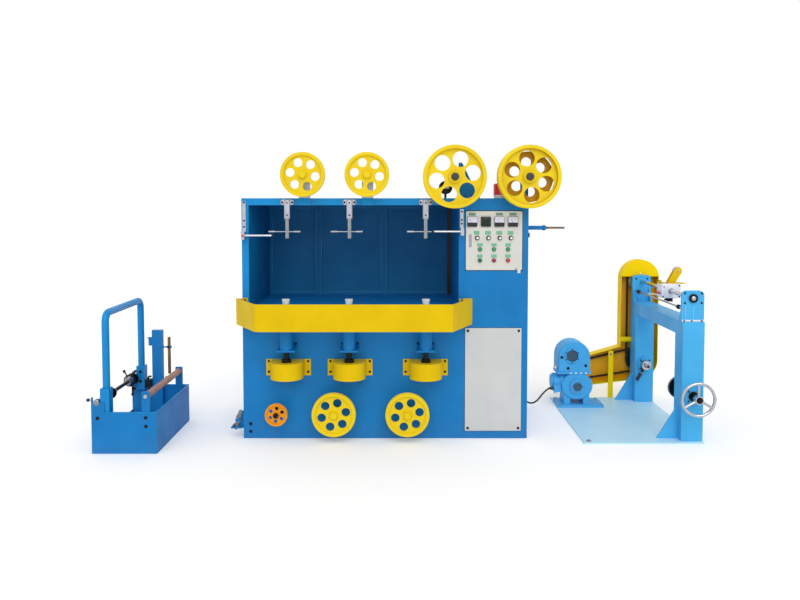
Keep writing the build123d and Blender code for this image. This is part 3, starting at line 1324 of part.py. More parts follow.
def make_belt_drive():
    """The belt guard behind the rear column, the two belts in it and the motor's pulley."""
    plane = Plane.XZ.offset(-BELT_FRONT - BELT_DEPTH)
    top = (COLUMN_X, BELT_TOP_HEIGHT)
    reel = (COLUMN_X, REEL_AXIS)
    inner = BELT_GUARD_RADIUS - BELT_GUARD_SHEET
    inner_end = BELT_GUARD_END - BELT_GUARD_SHEET
    post_width, post_height, post_from_left = BELT_POST
    stay_radius, stay_height = BELT_STAY
    with BuildPart() as guard:
        add_leg(top, reel, BELT_GUARD_RADIUS, BELT_GUARD_RADIUS, plane, BELT_DEPTH)
        add_leg(reel, BELT_MOTOR_PLACE, BELT_GUARD_RADIUS, BELT_GUARD_END, plane, BELT_DEPTH)
        hollow = plane.offset(BELT_GUARD_SHEET)
        depth = BELT_DEPTH - BELT_GUARD_SHEET
        add_leg(top, reel, inner, inner, hollow, depth, mode=Mode.SUBTRACT)
        add_leg(reel, BELT_MOTOR_PLACE, inner, inner_end, hollow, depth, mode=Mode.SUBTRACT)
        cover_low = BELT_TOP_HEIGHT + BELT_GUARD_RADIUS - BELT_COVER_HEIGHT
        with BuildSketch(Plane.XZ.offset(-BELT_FRONT)):
            with Locations(top):
                Circle(BELT_GUARD_RADIUS)
            with Locations((COLUMN_X, cover_low - BELT_GUARD_RADIUS)):
                Rectangle(3 * BELT_GUARD_RADIUS, 2 * BELT_GUARD_RADIUS, mode=Mode.SUBTRACT)
        extrude(amount=BELT_GUARD_SHEET)
        post_left = BASE_LEFT + post_from_left
        block(
            (post_left, post_left + post_width),
            (BELT_FRONT - BELT_GUARD_SHEET, BELT_FRONT),
            (BASE_SHEET, post_height),
        )
        stay_y = BELT_FRONT + BELT_LANES[0] * 2 / 3 - stay_radius
        bar(
            (COLUMN_X - BELT_GUARD_RADIUS, stay_y, stay_height),
            (COLUMN_X - COLUMN_WIDTH / 2, stay_y, stay_height),
            stay_radius,
        )
    save(guard, "belt_guard")
    grip = BELT_PULLEY_RADIUS + SEAT_GAP
    small_grip = MOTOR_PULLEY_RADIUS + SEAT_GAP
    rod = (COLUMN_X, ROD_HEIGHT)
    with BuildPart() as belts:
        for start, end, end_grip, lane in (
            (rod, reel, grip, BELT_LANES[0]),
            (BELT_MOTOR_PLACE, reel, small_grip, BELT_LANES[1]),
        ):
            lane_plane = Plane.XZ.offset(-BELT_FRONT - lane - BELT_WIDTH)
            add_leg(start, reel, end_grip + BELT_THICK, grip + BELT_THICK, lane_plane, BELT_WIDTH)
            add_leg(start, reel, end_grip, grip, lane_plane, BELT_WIDTH, mode=Mode.SUBTRACT)
    save(belts, "drive_belt")
    x, z = BELT_MOTOR_PLACE
    lane = BELT_FRONT + BELT_LANES[1]
    with BuildPart() as pulley:
        bar((x, GEAR_BACK - GEAR_FLANGE, z), (x, lane + BELT_WIDTH, z), REEL_SHAFT_RADIUS)
        bar((x, lane, z), (x, lane + BELT_WIDTH, z), MOTOR_PULLEY_RADIUS)
        bar((x, lane - BELT_WIDTH / 2, z), (x, lane, z), MOTOR_PULLEY_RADIUS / 2)
    save(pulley, "motor_pulley")


def make_gear_case():
    """The gear case: an arched upper casting, bolted down to an egg-shaped one on a foot."""
    body_width, body_height = GEAR_BODY
    body_z = GEAR_SPLIT - body_height / 2
    back_plane = Plane.XZ.offset(-GEAR_BACK)
    floor = BASE_SHEET + FOOT_PLATE[1]
    foot_left = BASE_LEFT + FOOT_FROM_LEFT
    bore_radius, bore_x, bore_z = GEAR_BORE
    ring_radius, ring_proud = GEAR_RING
    bore = (GEAR_X + bore_x, GEAR_CASE_HEIGHT + bore_z)
    flange_radius = MOTOR_FLANGE[0]
    middle = GEAR_FRONT + GEAR_DEPTH / 2
    with BuildPart() as body:
        with BuildSketch(back_plane):
            with Locations((GEAR_BODY_X, body_z)):
                Ellipse(body_width / 2, body_height / 2)
        extrude(amount=GEAR_DEPTH)
        fillet(body.edges().group_by(Axis.Y)[0], GEAR_FLANGE)
    with BuildPart() as case:
        with BuildSketch(back_plane):
            with Locations((GEAR_X, GEAR_CASE_HEIGHT)):
                Circle(GEAR_CASE_RADIUS)
            with Locations((GEAR_X, (GEAR_CASE_HEIGHT + GEAR_SPLIT) / 2)):
                Rectangle(2 * GEAR_CASE_RADIUS, GEAR_CASE_HEIGHT - GEAR_SPLIT)
        extrude(amount=GEAR_DEPTH)
        fillet(case.edges().group_by(Axis.Y)[0], GEAR_FLANGE)
        add(body.part)
        block(
            (GEAR_X - GEAR_CASE_RADIUS - GEAR_FLANGE / 2, GEAR_X + GEAR_CASE_RADIUS + GEAR_FLANGE / 2),
            (GEAR_FRONT - GEAR_FLANGE / 2, GEAR_BACK),
            (GEAR_SPLIT - GEAR_FLANGE, GEAR_SPLIT + GEAR_FLANGE / 2),
        )
        for side in (-1, 1):
            foot_x = GEAR_BODY_X + side * GEAR_FEET[1] / 2
            block(
                (foot_x - GEAR_FEET[0] / 2, foot_x + GEAR_FEET[0] / 2),
                (GEAR_FRONT + GEAR_FLANGE, GEAR_BACK),
                (floor, body_z),
            )
        block(
            (foot_left, foot_left + FOOT_PLATE[0]),
            (GEAR_FRONT - FOOT_PLATE[1], GEAR_BACK + FOOT_PLATE[1]),
            (BASE_SHEET, floor),
        )
        for radius, proud in GEAR_BOSSES:
            bar((GEAR_BODY_X, middle, body_z), (GEAR_BODY_X, GEAR_FRONT - proud, body_z), radius)
        bar((bore[0], middle, bore[1]), (bore[0], GEAR_FRONT - ring_proud, bore[1]), ring_radius)
        bar(
            (bore[0], GEAR_FRONT + GEAR_FLANGE, bore[1]),
            (bore[0], GEAR_FRONT - ring_proud, bore[1]),
            bore_radius,
            mode=Mode.SUBTRACT,
        )
        bar((GEAR_BODY_X, middle, MOTOR_HEIGHT), (MOTOR_FACE, middle, MOTOR_HEIGHT), flange_radius)
        x, z = BELT_MOTOR_PLACE
        bar(
            (x, GEAR_BACK - 2 * GEAR_FLANGE, z),
            (x, GEAR_BACK + FOOT_PLATE[1], z),
            REEL_SHAFT_RADIUS + RUNNING,
            mode=Mode.SUBTRACT,
        )
    save(case, "gear_case")


def make_motor():
    """The motor's round end at the gear case's left, with its terminal box."""
    middle = GEAR_FRONT + GEAR_DEPTH / 2
    box_width, box_depth, box_height = TERMINAL_BOX
    setoff, drop = TERMINAL_PLACE
    cover_radius, cover_length = MOTOR_COVER
    end = MOTOR_FACE - MOTOR_LENGTH
    box_z = MOTOR_HEIGHT - drop
    with BuildPart() as motor:
        bar((MOTOR_FACE, middle, MOTOR_HEIGHT), (end, middle, MOTOR_HEIGHT), MOTOR_RADIUS)
        bar((end, middle, MOTOR_HEIGHT), (end - cover_length, middle, MOTOR_HEIGHT), cover_radius)
        block(
            (MOTOR_FACE - setoff - box_width, MOTOR_FACE - setoff),
            (middle - MOTOR_RADIUS - box_depth, middle),
            (box_z - box_height / 2, box_z + box_height / 2),
        )
    save(motor, "motor")


def make_motor_cable():
    """The cable from the cabinet's side to the motor, with a gland at each end."""
    middle = GEAR_FRONT + GEAR_DEPTH / 2
    box_front = middle - MOTOR_RADIUS - TERMINAL_BOX[1]
    start = (RIGHT, *CABLE_START)
    end = (
        MOTOR_FACE - TERMINAL_PLACE[0] - TERMINAL_BOX[0],
        box_front + GLAND_RADIUS - SEAT_GAP,
        MOTOR_HEIGHT - TERMINAL_PLACE[1],
    )
    start_mouth = (start[0] + GLAND_LENGTH, start[1], start[2])
    end_mouth = (end[0] - GLAND_LENGTH, end[1], end[2])
    first = start_mouth[0] + CABLE_LEADS[0]
    last = end_mouth[0] - CABLE_LEADS[1]
    with BuildPart() as glands:
        for low, high in ((start, start_mouth), (end_mouth, end)):
            bar(low, high, GLAND_RADIUS)
    save(glands, "cable_glands")
    with BuildPart() as cable:
        with BuildLine() as route:
            FilletPolyline(
                start_mouth,
                (first, *start[1:]),
                ((first + last) / 2, *CABLE_LOWEST),
                (last, *end[1:]),
                end_mouth,
                radius=list(CABLE_BENDS),
            )
        with BuildSketch(Plane(origin=start_mouth, z_dir=(1, 0, 0))):
            Circle(CABLE_RADIUS)
        sweep(path=route.line)
    save(cable, "motor_cable")


def main():
    """Build every piece in order."""
    os.makedirs("parts", exist_ok=True)
    make_housing()
    make_panels()
    make_guard_rail()
    make_housings()
    for index, x in enumerate(SPINDLE_PLACES, 1):
        make_spindle(index, x)
    make_pulley_guards()
    make_tape_guides()
    make_guide_arms()
    make_outlet_guide()
    make_beacon()
    make_lower_wheels()
    make_top_wheels()
    make_capstans()
    make_lever_bracket()
    make_payoff_trough()
    make_payoff_shaft()
    make_payoff_post()
    make_payoff_roller()
    make_takeup_frame()
    make_traverse()
    make_carriage()
    make_reel_centres()
    make_belt_drive()
    make_gear_case()
    make_motor()
    make_motor_cable()


main()
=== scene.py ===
"""The cable taping machine dressed for its picture.

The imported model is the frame. This script adds the studio, the finishes and the small
parts that the frame leaves out: instruments, fasteners, caps, nozzles and fittings.
"""

import json
import logging
import math
from collections.abc import Sequence
from dataclasses import dataclass
from enum import Enum

import bpy
from mathutils import Matrix, Vector


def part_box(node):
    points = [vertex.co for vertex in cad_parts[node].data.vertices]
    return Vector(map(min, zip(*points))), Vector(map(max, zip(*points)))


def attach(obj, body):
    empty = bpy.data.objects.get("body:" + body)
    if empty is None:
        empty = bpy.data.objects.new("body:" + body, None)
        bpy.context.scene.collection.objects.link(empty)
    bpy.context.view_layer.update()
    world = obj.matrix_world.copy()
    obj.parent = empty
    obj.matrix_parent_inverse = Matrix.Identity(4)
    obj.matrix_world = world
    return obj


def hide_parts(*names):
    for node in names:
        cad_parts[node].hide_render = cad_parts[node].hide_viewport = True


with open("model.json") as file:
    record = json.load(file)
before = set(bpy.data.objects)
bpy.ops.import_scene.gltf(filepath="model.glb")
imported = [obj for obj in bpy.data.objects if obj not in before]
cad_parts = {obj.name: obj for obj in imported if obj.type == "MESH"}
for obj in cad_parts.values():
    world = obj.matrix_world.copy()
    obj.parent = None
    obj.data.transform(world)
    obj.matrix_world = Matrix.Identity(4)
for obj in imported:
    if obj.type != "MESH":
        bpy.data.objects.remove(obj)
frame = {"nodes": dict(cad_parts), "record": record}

LOG = logging.getLogger("cable_taping_machine")
Point = tuple[float, float, float]
Profile = list[tuple[float, float]]
ROOT = "root"
WHITE = (1.0, 1.0, 1.0, 1.0)
# The x of each spindle's axis.
SPINDLES = (-0.70201, -0.25507, 0.29103)
# The y of the spindles' axes, and the y just in front of the housing's front sheet.
CABLE_PLANE = -0.56
SKIN = -0.4501


class Way(Enum):
    """The directions that pieces face."""

    LEFT = (-1.0, 0.0, 0.0)
    RIGHT = (1.0, 0.0, 0.0)
    FRONT = (0.0, -1.0, 0.0)
    BACK = (0.0, 1.0, 0.0)
    UP = (0.0, 0.0, 1.0)
    DOWN = (0.0, 0.0, -1.0)


class Head(Enum):
    """The kinds of fastener head: sides, height and crown as shares of the radius."""

    HEX = (6, 0.75, 0.0)
    PAN = (20, 0.45, 0.35)
    SOCKET = (20, 1.0, 0.0)


def linear(tone: str) -> tuple[float, float, float, float]:
    """Turn an sRGB hex colour into linear light.

    Args:
        tone: six hex digits, with or without a leading #.

    Returns:
        Red, green, blue and an alpha of one.
    """
    digits = tone.lstrip("#")
    parts = [int(digits[i : i + 2], 16) / 255 for i in (0, 2, 4)]
    light = [p / 12.92 if p <= 0.04045 else ((p + 0.055) / 1.055) ** 2.4 for p in parts]
    return (light[0], light[1], light[2], 1.0)


def add_node(
    tree: bpy.types.NodeTree,
    kind: str,
    settings: dict | None = None,
    links: dict | None = None,
) -> bpy.types.Node:
    """Add a shader node with its settings and links.

    Args:
        tree: the node tree that it joins.
        kind: Blender's name for the node type.
        settings: values for its properties, or for its inputs by name or number.
        links: the output that feeds each input, by the input's name or number.

    Returns:
        The new node.
    """
    node = tree.nodes.new(kind)
    for key, value in (settings or {}).items():
        if isinstance(key, str) and hasattr(node, key):
            setattr(node, key, value)
        else:
            node.inputs[key].default_value = value
    for key, source in (links or {}).items():
        tree.links.new(source, node.inputs[key])
    return node


@dataclass(frozen=True)
class Finish:
    """A surface: its two tones, how rough it is, and the relief that catches the light.

    Slot is the record's material slot that its pieces belong to. Patch and grain are the
    sizes, in millimetres, of its changes of tone and of its relief. Gloss is how strongly
    it mirrors the studio. Soil is how much workshop dust settles on it, thickest near the
    floor.
    """

    name: str
    slot: str
    tone: str
    shade: str
    roughness: float = 0.4
    spread: float = 0.12
    metallic: float = 0.0
    patch: float = 260.0
    grain: float = 16.0
    relief: float = 0.25
    stretch: Point = (1.0, 1.0, 1.0)
    coat: float = 0.0
    clear: float = 0.0
    gloss: float = 0.5
    soil: float = 0.0
    soil_tone: str = "#8b8274"

    def material(self) -> bpy.types.Material:
        """Make this finish's material once, and give the same one back after that.

        Returns:
            The material.
        """
        made = bpy.data.materials.get(self.name)
        if made:
            return made
        made = bpy.data.materials.new(self.name)
        made.use_nodes = True
        tree = made.node_tree
        tree.nodes.clear()
        place = add_node(tree, "ShaderNodeTexCoord").outputs["Object"]
        spot = add_node(
            tree, "ShaderNodeMapping", {"Scale": self.stretch}, {"Vector": place}
        ).outputs["Vector"]
        patches = add_node(
            tree,
            "ShaderNodeTexNoise",
            {"Scale": 1000 / self.patch, "Detail": 4.0, "Roughness": 0.6},
            {"Vector": spot},
        ).outputs["Fac"]
        share = add_node(
            tree,
            "ShaderNodeMapRange",
            {"From Min": 0.34, "From Max": 0.66, "To Min": 0.0, "To Max": 1.0},
            {"Value": patches},
        ).outputs["Result"]
        colour = add_node(
            tree,
            "ShaderNodeMix",
            {"data_type": "RGBA", 6: linear(self.tone), 7: linear(self.shade)},
            {0: share},
        ).outputs[2]
        if self.soil:
            colour = self.soiled(tree, place, colour)
        rough = add_node(
            tree,
            "ShaderNodeMapRange",
            {
                "From Min": 0.3,
                "From Max": 0.7,
                "To Min": max(self.roughness - self.spread / 2, 0.02),
                "To Max": self.roughness + self.spread / 2,
            },
            {"Value": patches},
        ).outputs["Result"]
        pebbles = add_node(
            tree,
            "ShaderNodeTexNoise",
            {"Scale": 1000 / self.grain, "Detail": 2.0},
            {"Vector": spot},
        ).outputs["Fac"]
        bump = add_node(
            tree,
            "ShaderNodeBump",
            {"Strength": self.relief, "Distance": 0.0006},
            {"Height": pebbles},
        ).outputs["Normal"]
        shader = add_node(
            tree,
            "ShaderNodeBsdfPrincipled",
            {
                "Metallic": self.metallic,
                "Specular IOR Level": self.gloss,
                "Coat Weight": self.coat,
                "Coat Roughness": 0.12,
                "Transmission Weight": self.clear,
            },
            {"Base Color": colour, "Roughness": rough, "Normal": bump},
        )
        add_node(tree, "ShaderNodeOutputMaterial", {}, {"Surface": shader.outputs[0]})
        return made

    def soiled(
        self,
        tree: bpy.types.NodeTree,
        place: bpy.types.NodeSocket,
        colour: bpy.types.NodeSocket,
    ) -> bpy.types.NodeSocket:
        """Lay dust over a colour, in cloudy patches and thicker near the floor.

        Args:
            tree: the material's node tree.
            place: the object coordinates.
            colour: the clean colour.

        Returns:
            The dusty colour.
        """
        height = add_node(tree, "ShaderNodeSeparateXYZ", {}, {"Vector": place}).outputs["Z"]
        low = add_node(
            tree,
            "ShaderNodeMapRange",
            {"From Min": 0.0, "From Max": 0.16, "To Min": self.soil, "To Max": self.soil * 0.25},
            {"Value": height},
        ).outputs["Result"]
        clouds = add_node(
            tree, "ShaderNodeTexNoise", {"Scale": 9.0, "Detail": 6.0}, {"Vector": place}
        ).outputs["Fac"]
        dust = add_node(
            tree, "ShaderNodeMath", {"operation": "MULTIPLY"}, {0: low, 1: clouds}
        ).outputs[0]
        return add_node(
            tree,
            "ShaderNodeMix",
            {"data_type": "RGBA", 7: linear(self.soil_tone)},
            {0: dust, 6: colour},
        ).outputs[2]


def enamel(
    name: str,
    slot: str,
    tone: str,
    shade: str,
    rough: float,
    gloss: float,
    grain: float = 16.0,
    relief: float = 0.25,
    soil: float = 0.0,
) -> Finish:
    """Describe a paint: its slot, tones, roughness, gloss, and its peel's size and depth."""
    return Finish(name, slot, tone, shade, rough, grain=grain, relief=relief, gloss=gloss, soil=soil)


def moulded(
    name: str,
    slot: str,
    tone: str,
    shade: str,
    rough: float,
    spread: float,
    patch: float,
    grain: float,
    relief: float,
    coat: float = 0.0,
    clear: float = 0.0,
) -> Finish:
    """Describe a plastic or a like dull stuff: its slot, tones, roughness, patches and grain."""
    sizes = {"patch": patch, "grain": grain, "relief": relief}
    return Finish(name, slot, tone, shade, rough, spread, coat=coat, clear=clear, **sizes)


# Sprayed enamel on steel sheet: a satin sheen with a faint orange peel, drawn at 16 mm
# because the real 2 mm peel is finer than a picture point.
HOUSING_ENAMEL = enamel(
    "mid_blue_sprayed_enamel", "housing_blue", "#037dc4", "#0374b8", 0.42, 0.2, soil=0.14
)
PALE_ENAMEL = enamel("bright_blue_sprayed_enamel", "housing_blue", "#0a8bd0", "#0883c6", 0.38, 0.25)
# The same enamel inside the bay, made a deeper blue as painted shade for the shade inside the bay, with a
# dull bloom.
BAY_BLUE_PAINTED_SHADE = enamel("bay_blue_enamel_painted_shade", "bay_blue", "#0f74a8", "#0d6b9d", 0.5, 0.2)
# Lighter blue strips round the bay's back panels: painted highlight where the frame's folded edges catch
# the light.
BAY_FOLD_PAINTED_HIGHLIGHT = enamel("blue_fold_painted_highlight", "bay_blue", "#1f93c8", "#1a88bc", 0.36, 0.4)
# Light blue machine enamel, brushed on thick: softer relief.
STAND_ENAMEL = enamel("sky_blue_machine_enamel", "takeup_blue", "#4eb4ec", "#46aae2", 0.38, 0.14, 22.0)
BASE_ENAMEL = enamel(
    "pale_blue_floor_plate_enamel", "takeup_blue", "#c3ebfb", "#bbe6f9", 0.4, 0.3, soil=0.05
)
# Safety yellow enamel: strong chroma and a slightly greener shade in patches.
GUARD_ENAMEL = enamel("safety_yellow_enamel", "guard_yellow", "#e6c20e", "#dcb80c", 0.42, 0.06)
# The belt guard's yellow, brighter and warmer than the rail's.
BELT_GUARD_ENAMEL = enamel("sunny_yellow_enamel", "guard_yellow", "#ffdb0e", "#fad20b", 0.42, 0.05)
# Enamel over the wheels' castings, whose pebbles show through.
WHEEL_ENAMEL = enamel(
    "wheel_yellow_casting_enamel", "wheel_yellow", "#efd214", "#e5c70f", 0.33, 0.25, 9.0, 0.4
)
ORANGE_ENAMEL = enamel("orange_casting_enamel", "wheel_orange", "#ee9c12", "#e08c10", 0.36, 0.25, 9.0, 0.4)
# Painted grey iron: the sand casting's pebbles show through the paint.
CASTING = enamel(
    "blue_painted_cast_iron", "gear_blue", "#4bb2ea", "#41a8e2", 0.45, 0.25, 6.0, 0.55, soil=0.1
)
# Powder coat: pale, even and faintly pebbled.
PANEL_COAT = enamel("warm_white_powder_coat", "panel_grey", "#dad9d3", "#d1d1cb", 0.5, 0.3, 5.0, 0.3)
GREY_COAT = enamel(
    "cool_grey_powder_coat", "panel_grey", "#cfd1d1", "#c5c8c9", 0.5, 0.3, 5.0, 0.3, soil=0.12
)
# Chrome plate: nearly mirror-like, with the steel's draw lines faintly under it.
CHROME = Finish("bright_chrome_plate", "chrome", "#c9ccd1", "#b7bbc1", 0.14, 0.08, 1.0, 40.0, 3.0, 0.08)
# Turned steel: fine rings that spread the highlight.
TURNED = Finish(
    "turned_bright_steel", "steel", "#a2a5a9", "#8c8f94", 0.3, 0.14, 1.0, 22.0, 2.5, 0.2, (1.0, 6.0, 1.0)
)
# Oxide-blackened steel: dark, oily and half dull.
BLACK_OXIDE = Finish(
    "oxide_blackened_steel", "steel_black", "#25262a", "#18191c", 0.42, 0.2, 0.75, 30.0, 3.0, 0.2
)
# Copper-coloured sleeve of hard rubber, matt with a warm bloom.
COPPER_SLEEVE = Finish(
    "copper_brown_roller_sleeve", "copper", "#b07f6a", "#a0705d", 0.46, 0.1, 0.35, 60.0, 5.0, 0.2
)
# Moulded ABS: black, even, with a soft sheen.
BLACK_ABS = moulded(
    "black_moulded_abs", "black_plastic", "#1d1e20", "#161719", 0.38, 0.08, 30.0, 2.0, 0.15
)
# Moulded nylon: milky white and waxy.
WHITE_NYLON = moulded(
    "white_moulded_nylon", "beacon_white", "#f0f0ee", "#e6e6e4", 0.42, 0.08, 25.0, 3.0, 0.1
)
# V-belt rubber: charcoal, matt and slightly ribbed.
BELT_RUBBER = moulded("charcoal_belt_rubber", "belt_black", "#1b1b1b", "#121212", 0.7, 0.1, 50.0, 4.0, 0.4)
# Gloss white enamel on the foot strip.
WHITE_ENAMEL = Finish(
    "gloss_white_enamel", "panel_grey", "#eef0f1", "#e3e6e8", 0.32, grain=6.0, coat=0.2
)
# Printed card behind the meters' glass: chalk white and matt.
SCALE_CARD = moulded(
    "cool_white_printed_card", "panel_grey", "#dcdeee", "#d2d5e8", 0.6, 0.06, 20.0, 1.5, 0.05
)
# Smoked display glass: nearly black, with a green cast and a wet shine.
DARK_GLASS = Finish(
    "smoked_display_glass", "black_plastic", "#1f302b", "#192823", 0.16, 0.04,
    patch=40.0, grain=8.0, relief=0.03, gloss=0.25,
)
# Engraved two-ply labels: matt plastic in sage, mint and lavender.
SAGE_LABEL = moulded("sage_two_ply_label", "panel_grey", "#75948a", "#6c8a81", 0.5, 0.12, 15.0, 2.0, 0.08)
MINT_LABEL = moulded("mint_two_ply_label", "panel_grey", "#78bb97", "#6eb08c", 0.5, 0.12, 15.0, 2.0, 0.08)
LAVENDER_LABEL = moulded(
    "lavender_two_ply_label", "panel_grey", "#a6a5b6", "#9b9aac", 0.5, 0.12, 15.0, 2.0, 0.08
)
# Moulded button caps: clear colour under a soft gloss.
BUTTON_GREEN = moulded(
    "emerald_moulded_cap", "button_green", "#1f9a55", "#1a8e4c", 0.3, 0.06, 15.0, 2.0, 0.08
)
BUTTON_PINE = moulded(
    "pine_green_moulded_cap", "button_green", "#1b6a4b", "#175f43", 0.3, 0.06, 15.0, 2.0, 0.08
)
BUTTON_CRIMSON = moulded(
    "crimson_moulded_cap", "beacon_red", "#a81d3c", "#9b1936", 0.3, 0.06, 15.0, 2.0, 0.08
)
BUTTON_RED = moulded(
    "signal_red_moulded_cap", "beacon_red", "#d8262b", "#c92025", 0.3, 0.06, 15.0, 2.0, 0.08
)
# Acrylic lens: ruby red, lit a little from inside by what passes through it.
RED_LENS = moulded(
    "ruby_acrylic_lens", "beacon_red", "#f5274a", "#ea2042", 0.16, 0.04, 60.0, 6.0, 0.1, 0.4, 0.15
)
# Pressed fibre, pinkish brown and dry.
FIBRE = moulded("pink_brown_pressed_fibre", "copper", "#c9a094", "#b98d80", 0.6, 0.12, 18.0, 2.0, 0.3)
# Phenolic rod: dull chestnut with a fine weave.
BROWN_ROD = moulded("chestnut_phenolic_rod", "copper", "#7a5a48", "#6c4e3e", 0.5, 0.12, 25.0, 2.0, 0.2)
# Cast bronze rod, drawn and gone brown.
BRONZE = Finish("browned_bronze", "copper", "#9a6f43", "#7f5a36", 0.34, 0.14, 0.9, 30.0, 3.0, 0.15)
# Grey paint worn to a dusty sheen by hands.
WORN_GREY = Finish("hand_worn_grey_paint", "steel", "#8f8a86", "#7b7672", 0.45, 0.2, 0.2, 25.0, 4.0, 0.3)
# Machined aluminium, anodised to a pearly lavender white.
PEARL_ALUMINIUM = Finish(
    "pearl_anodised_aluminium", "steel", "#e6e8f1", "#d8dbe6", 0.34, 0.1, 0.2, 35.0, 3.0, 0.15
)
# Zinc-plated strip: lavender grey and satin.
ZINC = Finish("lavender_zinc_plate", "panel_grey", "#c3c6d4", "#b4b7c6", 0.36, 0.12, 0.4, 30.0, 3.0, 0.15)
# Steel nut and cap gone dark with grease; round the push buttons its dark grey also stands in as painted
# shade.
DARK_STEEL_GREASE_AND_SHADE = Finish(
    "greased_dark_steel_and_painted_shade", "steel_black", "#4b4a50", "#3d3c42", 0.36, 0.14, 0.6, 20.0, 3.0, 0.2
)
# Cast urethane: pinkish and see-through.
CLEAR_WHEEL = moulded(
    "pink_clear_urethane", "copper", "#e6cfcb", "#dbc1bd", 0.22, 0.06, 30.0, 5.0, 0.1, 0.3, 0.3
)
# Tarnished brass-yellow primer on the traverse pulley's web.
DULL_BRASS = moulded("olive_yellow_primer", "steel", "#a39a5e", "#8f874f", 0.5, 0.12, 30.0, 3.0, 0.2)
# The second capstan's inside: wheel enamel darkened to brown as painted shade, for the shade between its
# webs and on its recess wall.
BROWN_WHEEL_PAINTED_SHADE = enamel(
    "wheel_enamel_brown_painted_shade", "wheel_yellow", "#c6930d", "#b27f0c", 0.5, 0.2, 9.0, 0.3
)
# The guard's inside: the same enamel darkened to amber as painted shade, for the shade deep inside the
# guard.
AMBER_GUARD_PAINTED_SHADE = enamel("amber_guard_enamel_painted_shade", "guard_yellow", "#ffba16", "#f8ac10", 0.42, 0.3, 9.0, 0.3)
# Slate enamel on the gear case's covers.
SLATE_ENAMEL = moulded(
    "slate_blue_cover_enamel", "gear_blue", "#3c5871", "#334c63", 0.42, 0.12, 40.0, 5.0, 0.4
)
# Heat-shrunk sleeve: blue-black and half gloss.
BLUE_BLACK = moulded(
    "blue_black_shrunk_sleeve", "black_plastic", "#20263c", "#191e31", 0.36, 0.08, 20.0, 3.0, 0.15
)
# Sky enamel made paler along the bearing plate's ribs, as painted highlight.
SKY_RIB_PAINTED_HIGHLIGHT = Finish(
    "sky_enamel_painted_highlight", "takeup_blue", "#8fc8ee", "#84bee6", 0.36, grain=9.0, coat=0.2
)
# PVC cable sheath: black with a plastic shine along its top.
SHEATH = moulded("black_pvc_cable_sheath", "cable_black", "#161618", "#0f0f11", 0.36, 0.08, 30.0, 3.0, 0.15)


def free() -> None:
    """Leave edit mode and deselect every object."""
    if bpy.context.mode != "OBJECT":
        bpy.ops.object.mode_set(mode="OBJECT")
    bpy.ops.object.select_all(action="DESELECT")


def pick(piece: bpy.types.Object) -> None:
    """Make a piece the only one selected, and active.

    Args:
        piece: the piece.
    """
    free()
    piece.select_set(True)
    bpy.context.view_layer.objects.active = piece


def settle(piece: bpy.types.Object) -> bpy.types.Object:
    """Put a piece's place, turn and size in its mesh, and smooth its round sides.

    Args:
        piece: the piece.

    Returns:
        The same piece.
    """
    pick(piece)
    bpy.ops.object.transform_apply(location=True, rotation=True, scale=True)
    bpy.ops.object.shade_smooth_by_angle(angle=math.radians(34))
    return piece


def slab(name: str, low: Point, high: Point, edge: float = 0.001) -> bpy.types.Object:
    """Model a block with bevelled edges.

    Args:
        name: the piece's name.
        low: its lowest corner, in metres.
        high: its highest corner, in metres.
        edge: the width of the bevels.

    Returns:
        The piece.
    """
    free()
    middle = [(a + b) / 2 for a, b in zip(low, high)]
    bpy.ops.mesh.primitive_cube_add(size=1.0, location=middle)
    piece = bpy.context.object
    piece.name = name
    piece.scale = [b - a for a, b in zip(low, high)]
    bpy.ops.object.transform_apply(location=True, rotation=True, scale=True)
    bpy.ops.object.mode_set(mode="EDIT")
    bpy.ops.mesh.select_all(action="SELECT")
    bpy.ops.mesh.bevel(offset=edge, segments=2, affect="EDGES", clamp_overlap=True)
    bpy.ops.object.mode_set(mode="OBJECT")
    return settle(piece)


def stand(
    piece: bpy.types.Object, place: Point, way: Way | Point, turn: float = 0.0
) -> bpy.types.Object:
    """Turn a piece that was modelled up the Z axis to a direction, and set it in place.

    Args:
        piece: the piece.
        place: where its foot goes, in metres.
        way: the direction that its Z axis takes.
        turn: how far it is turned about its axis first, in degrees.

    Returns:
        The piece.
    """
    facing = Vector(way.value if isinstance(way, Way) else way)
    piece.data.transform(
        Matrix.Translation(place)
        @ Vector((0, 0, 1)).rotation_difference(facing).to_matrix().to_4x4()
        @ Matrix.Rotation(math.radians(turn), 4, "Z")
    )
    return settle(piece)


def turned(
    name: str,
    place: Point,
    way: Way | Point,
    profile: Profile,
    sides: int = 32,
    turn: float = 0.0,
) -> bpy.types.Object:
    """Model a turned piece by drawing a disc out through its profile.

    Args:
        name: the piece's name.
        place: where its first disc is centred, in metres.
        way: the direction that it grows in.
        profile: radius and height of each step, in metres.
        sides: how many sides its discs have.
        turn: how far it is turned about its axis, in degrees.

    Returns:
        The piece.
    """
    free()
    radius, height = profile[0]
    bpy.ops.mesh.primitive_circle_add(
        vertices=sides, radius=radius, fill_type="NGON", location=(0, 0, height)
    )
    piece = bpy.context.object
    piece.name = name
    bpy.ops.object.transform_apply(location=True)
    bpy.ops.object.mode_set(mode="EDIT")
    bpy.ops.mesh.select_all(action="SELECT")
    for (old, below), (new, above) in zip(profile, profile[1:]):
        bpy.ops.mesh.extrude_region_move(TRANSFORM_OT_translate={"value": (0, 0, above - below)})
        bpy.ops.transform.resize(value=(new / old, new / old, 1), center_override=(0, 0, above))
    bpy.ops.mesh.select_all(action="SELECT")
    bpy.ops.mesh.normals_make_consistent(inside=False)
    bpy.ops.object.mode_set(mode="OBJECT")
    return stand(piece, place, way, turn)


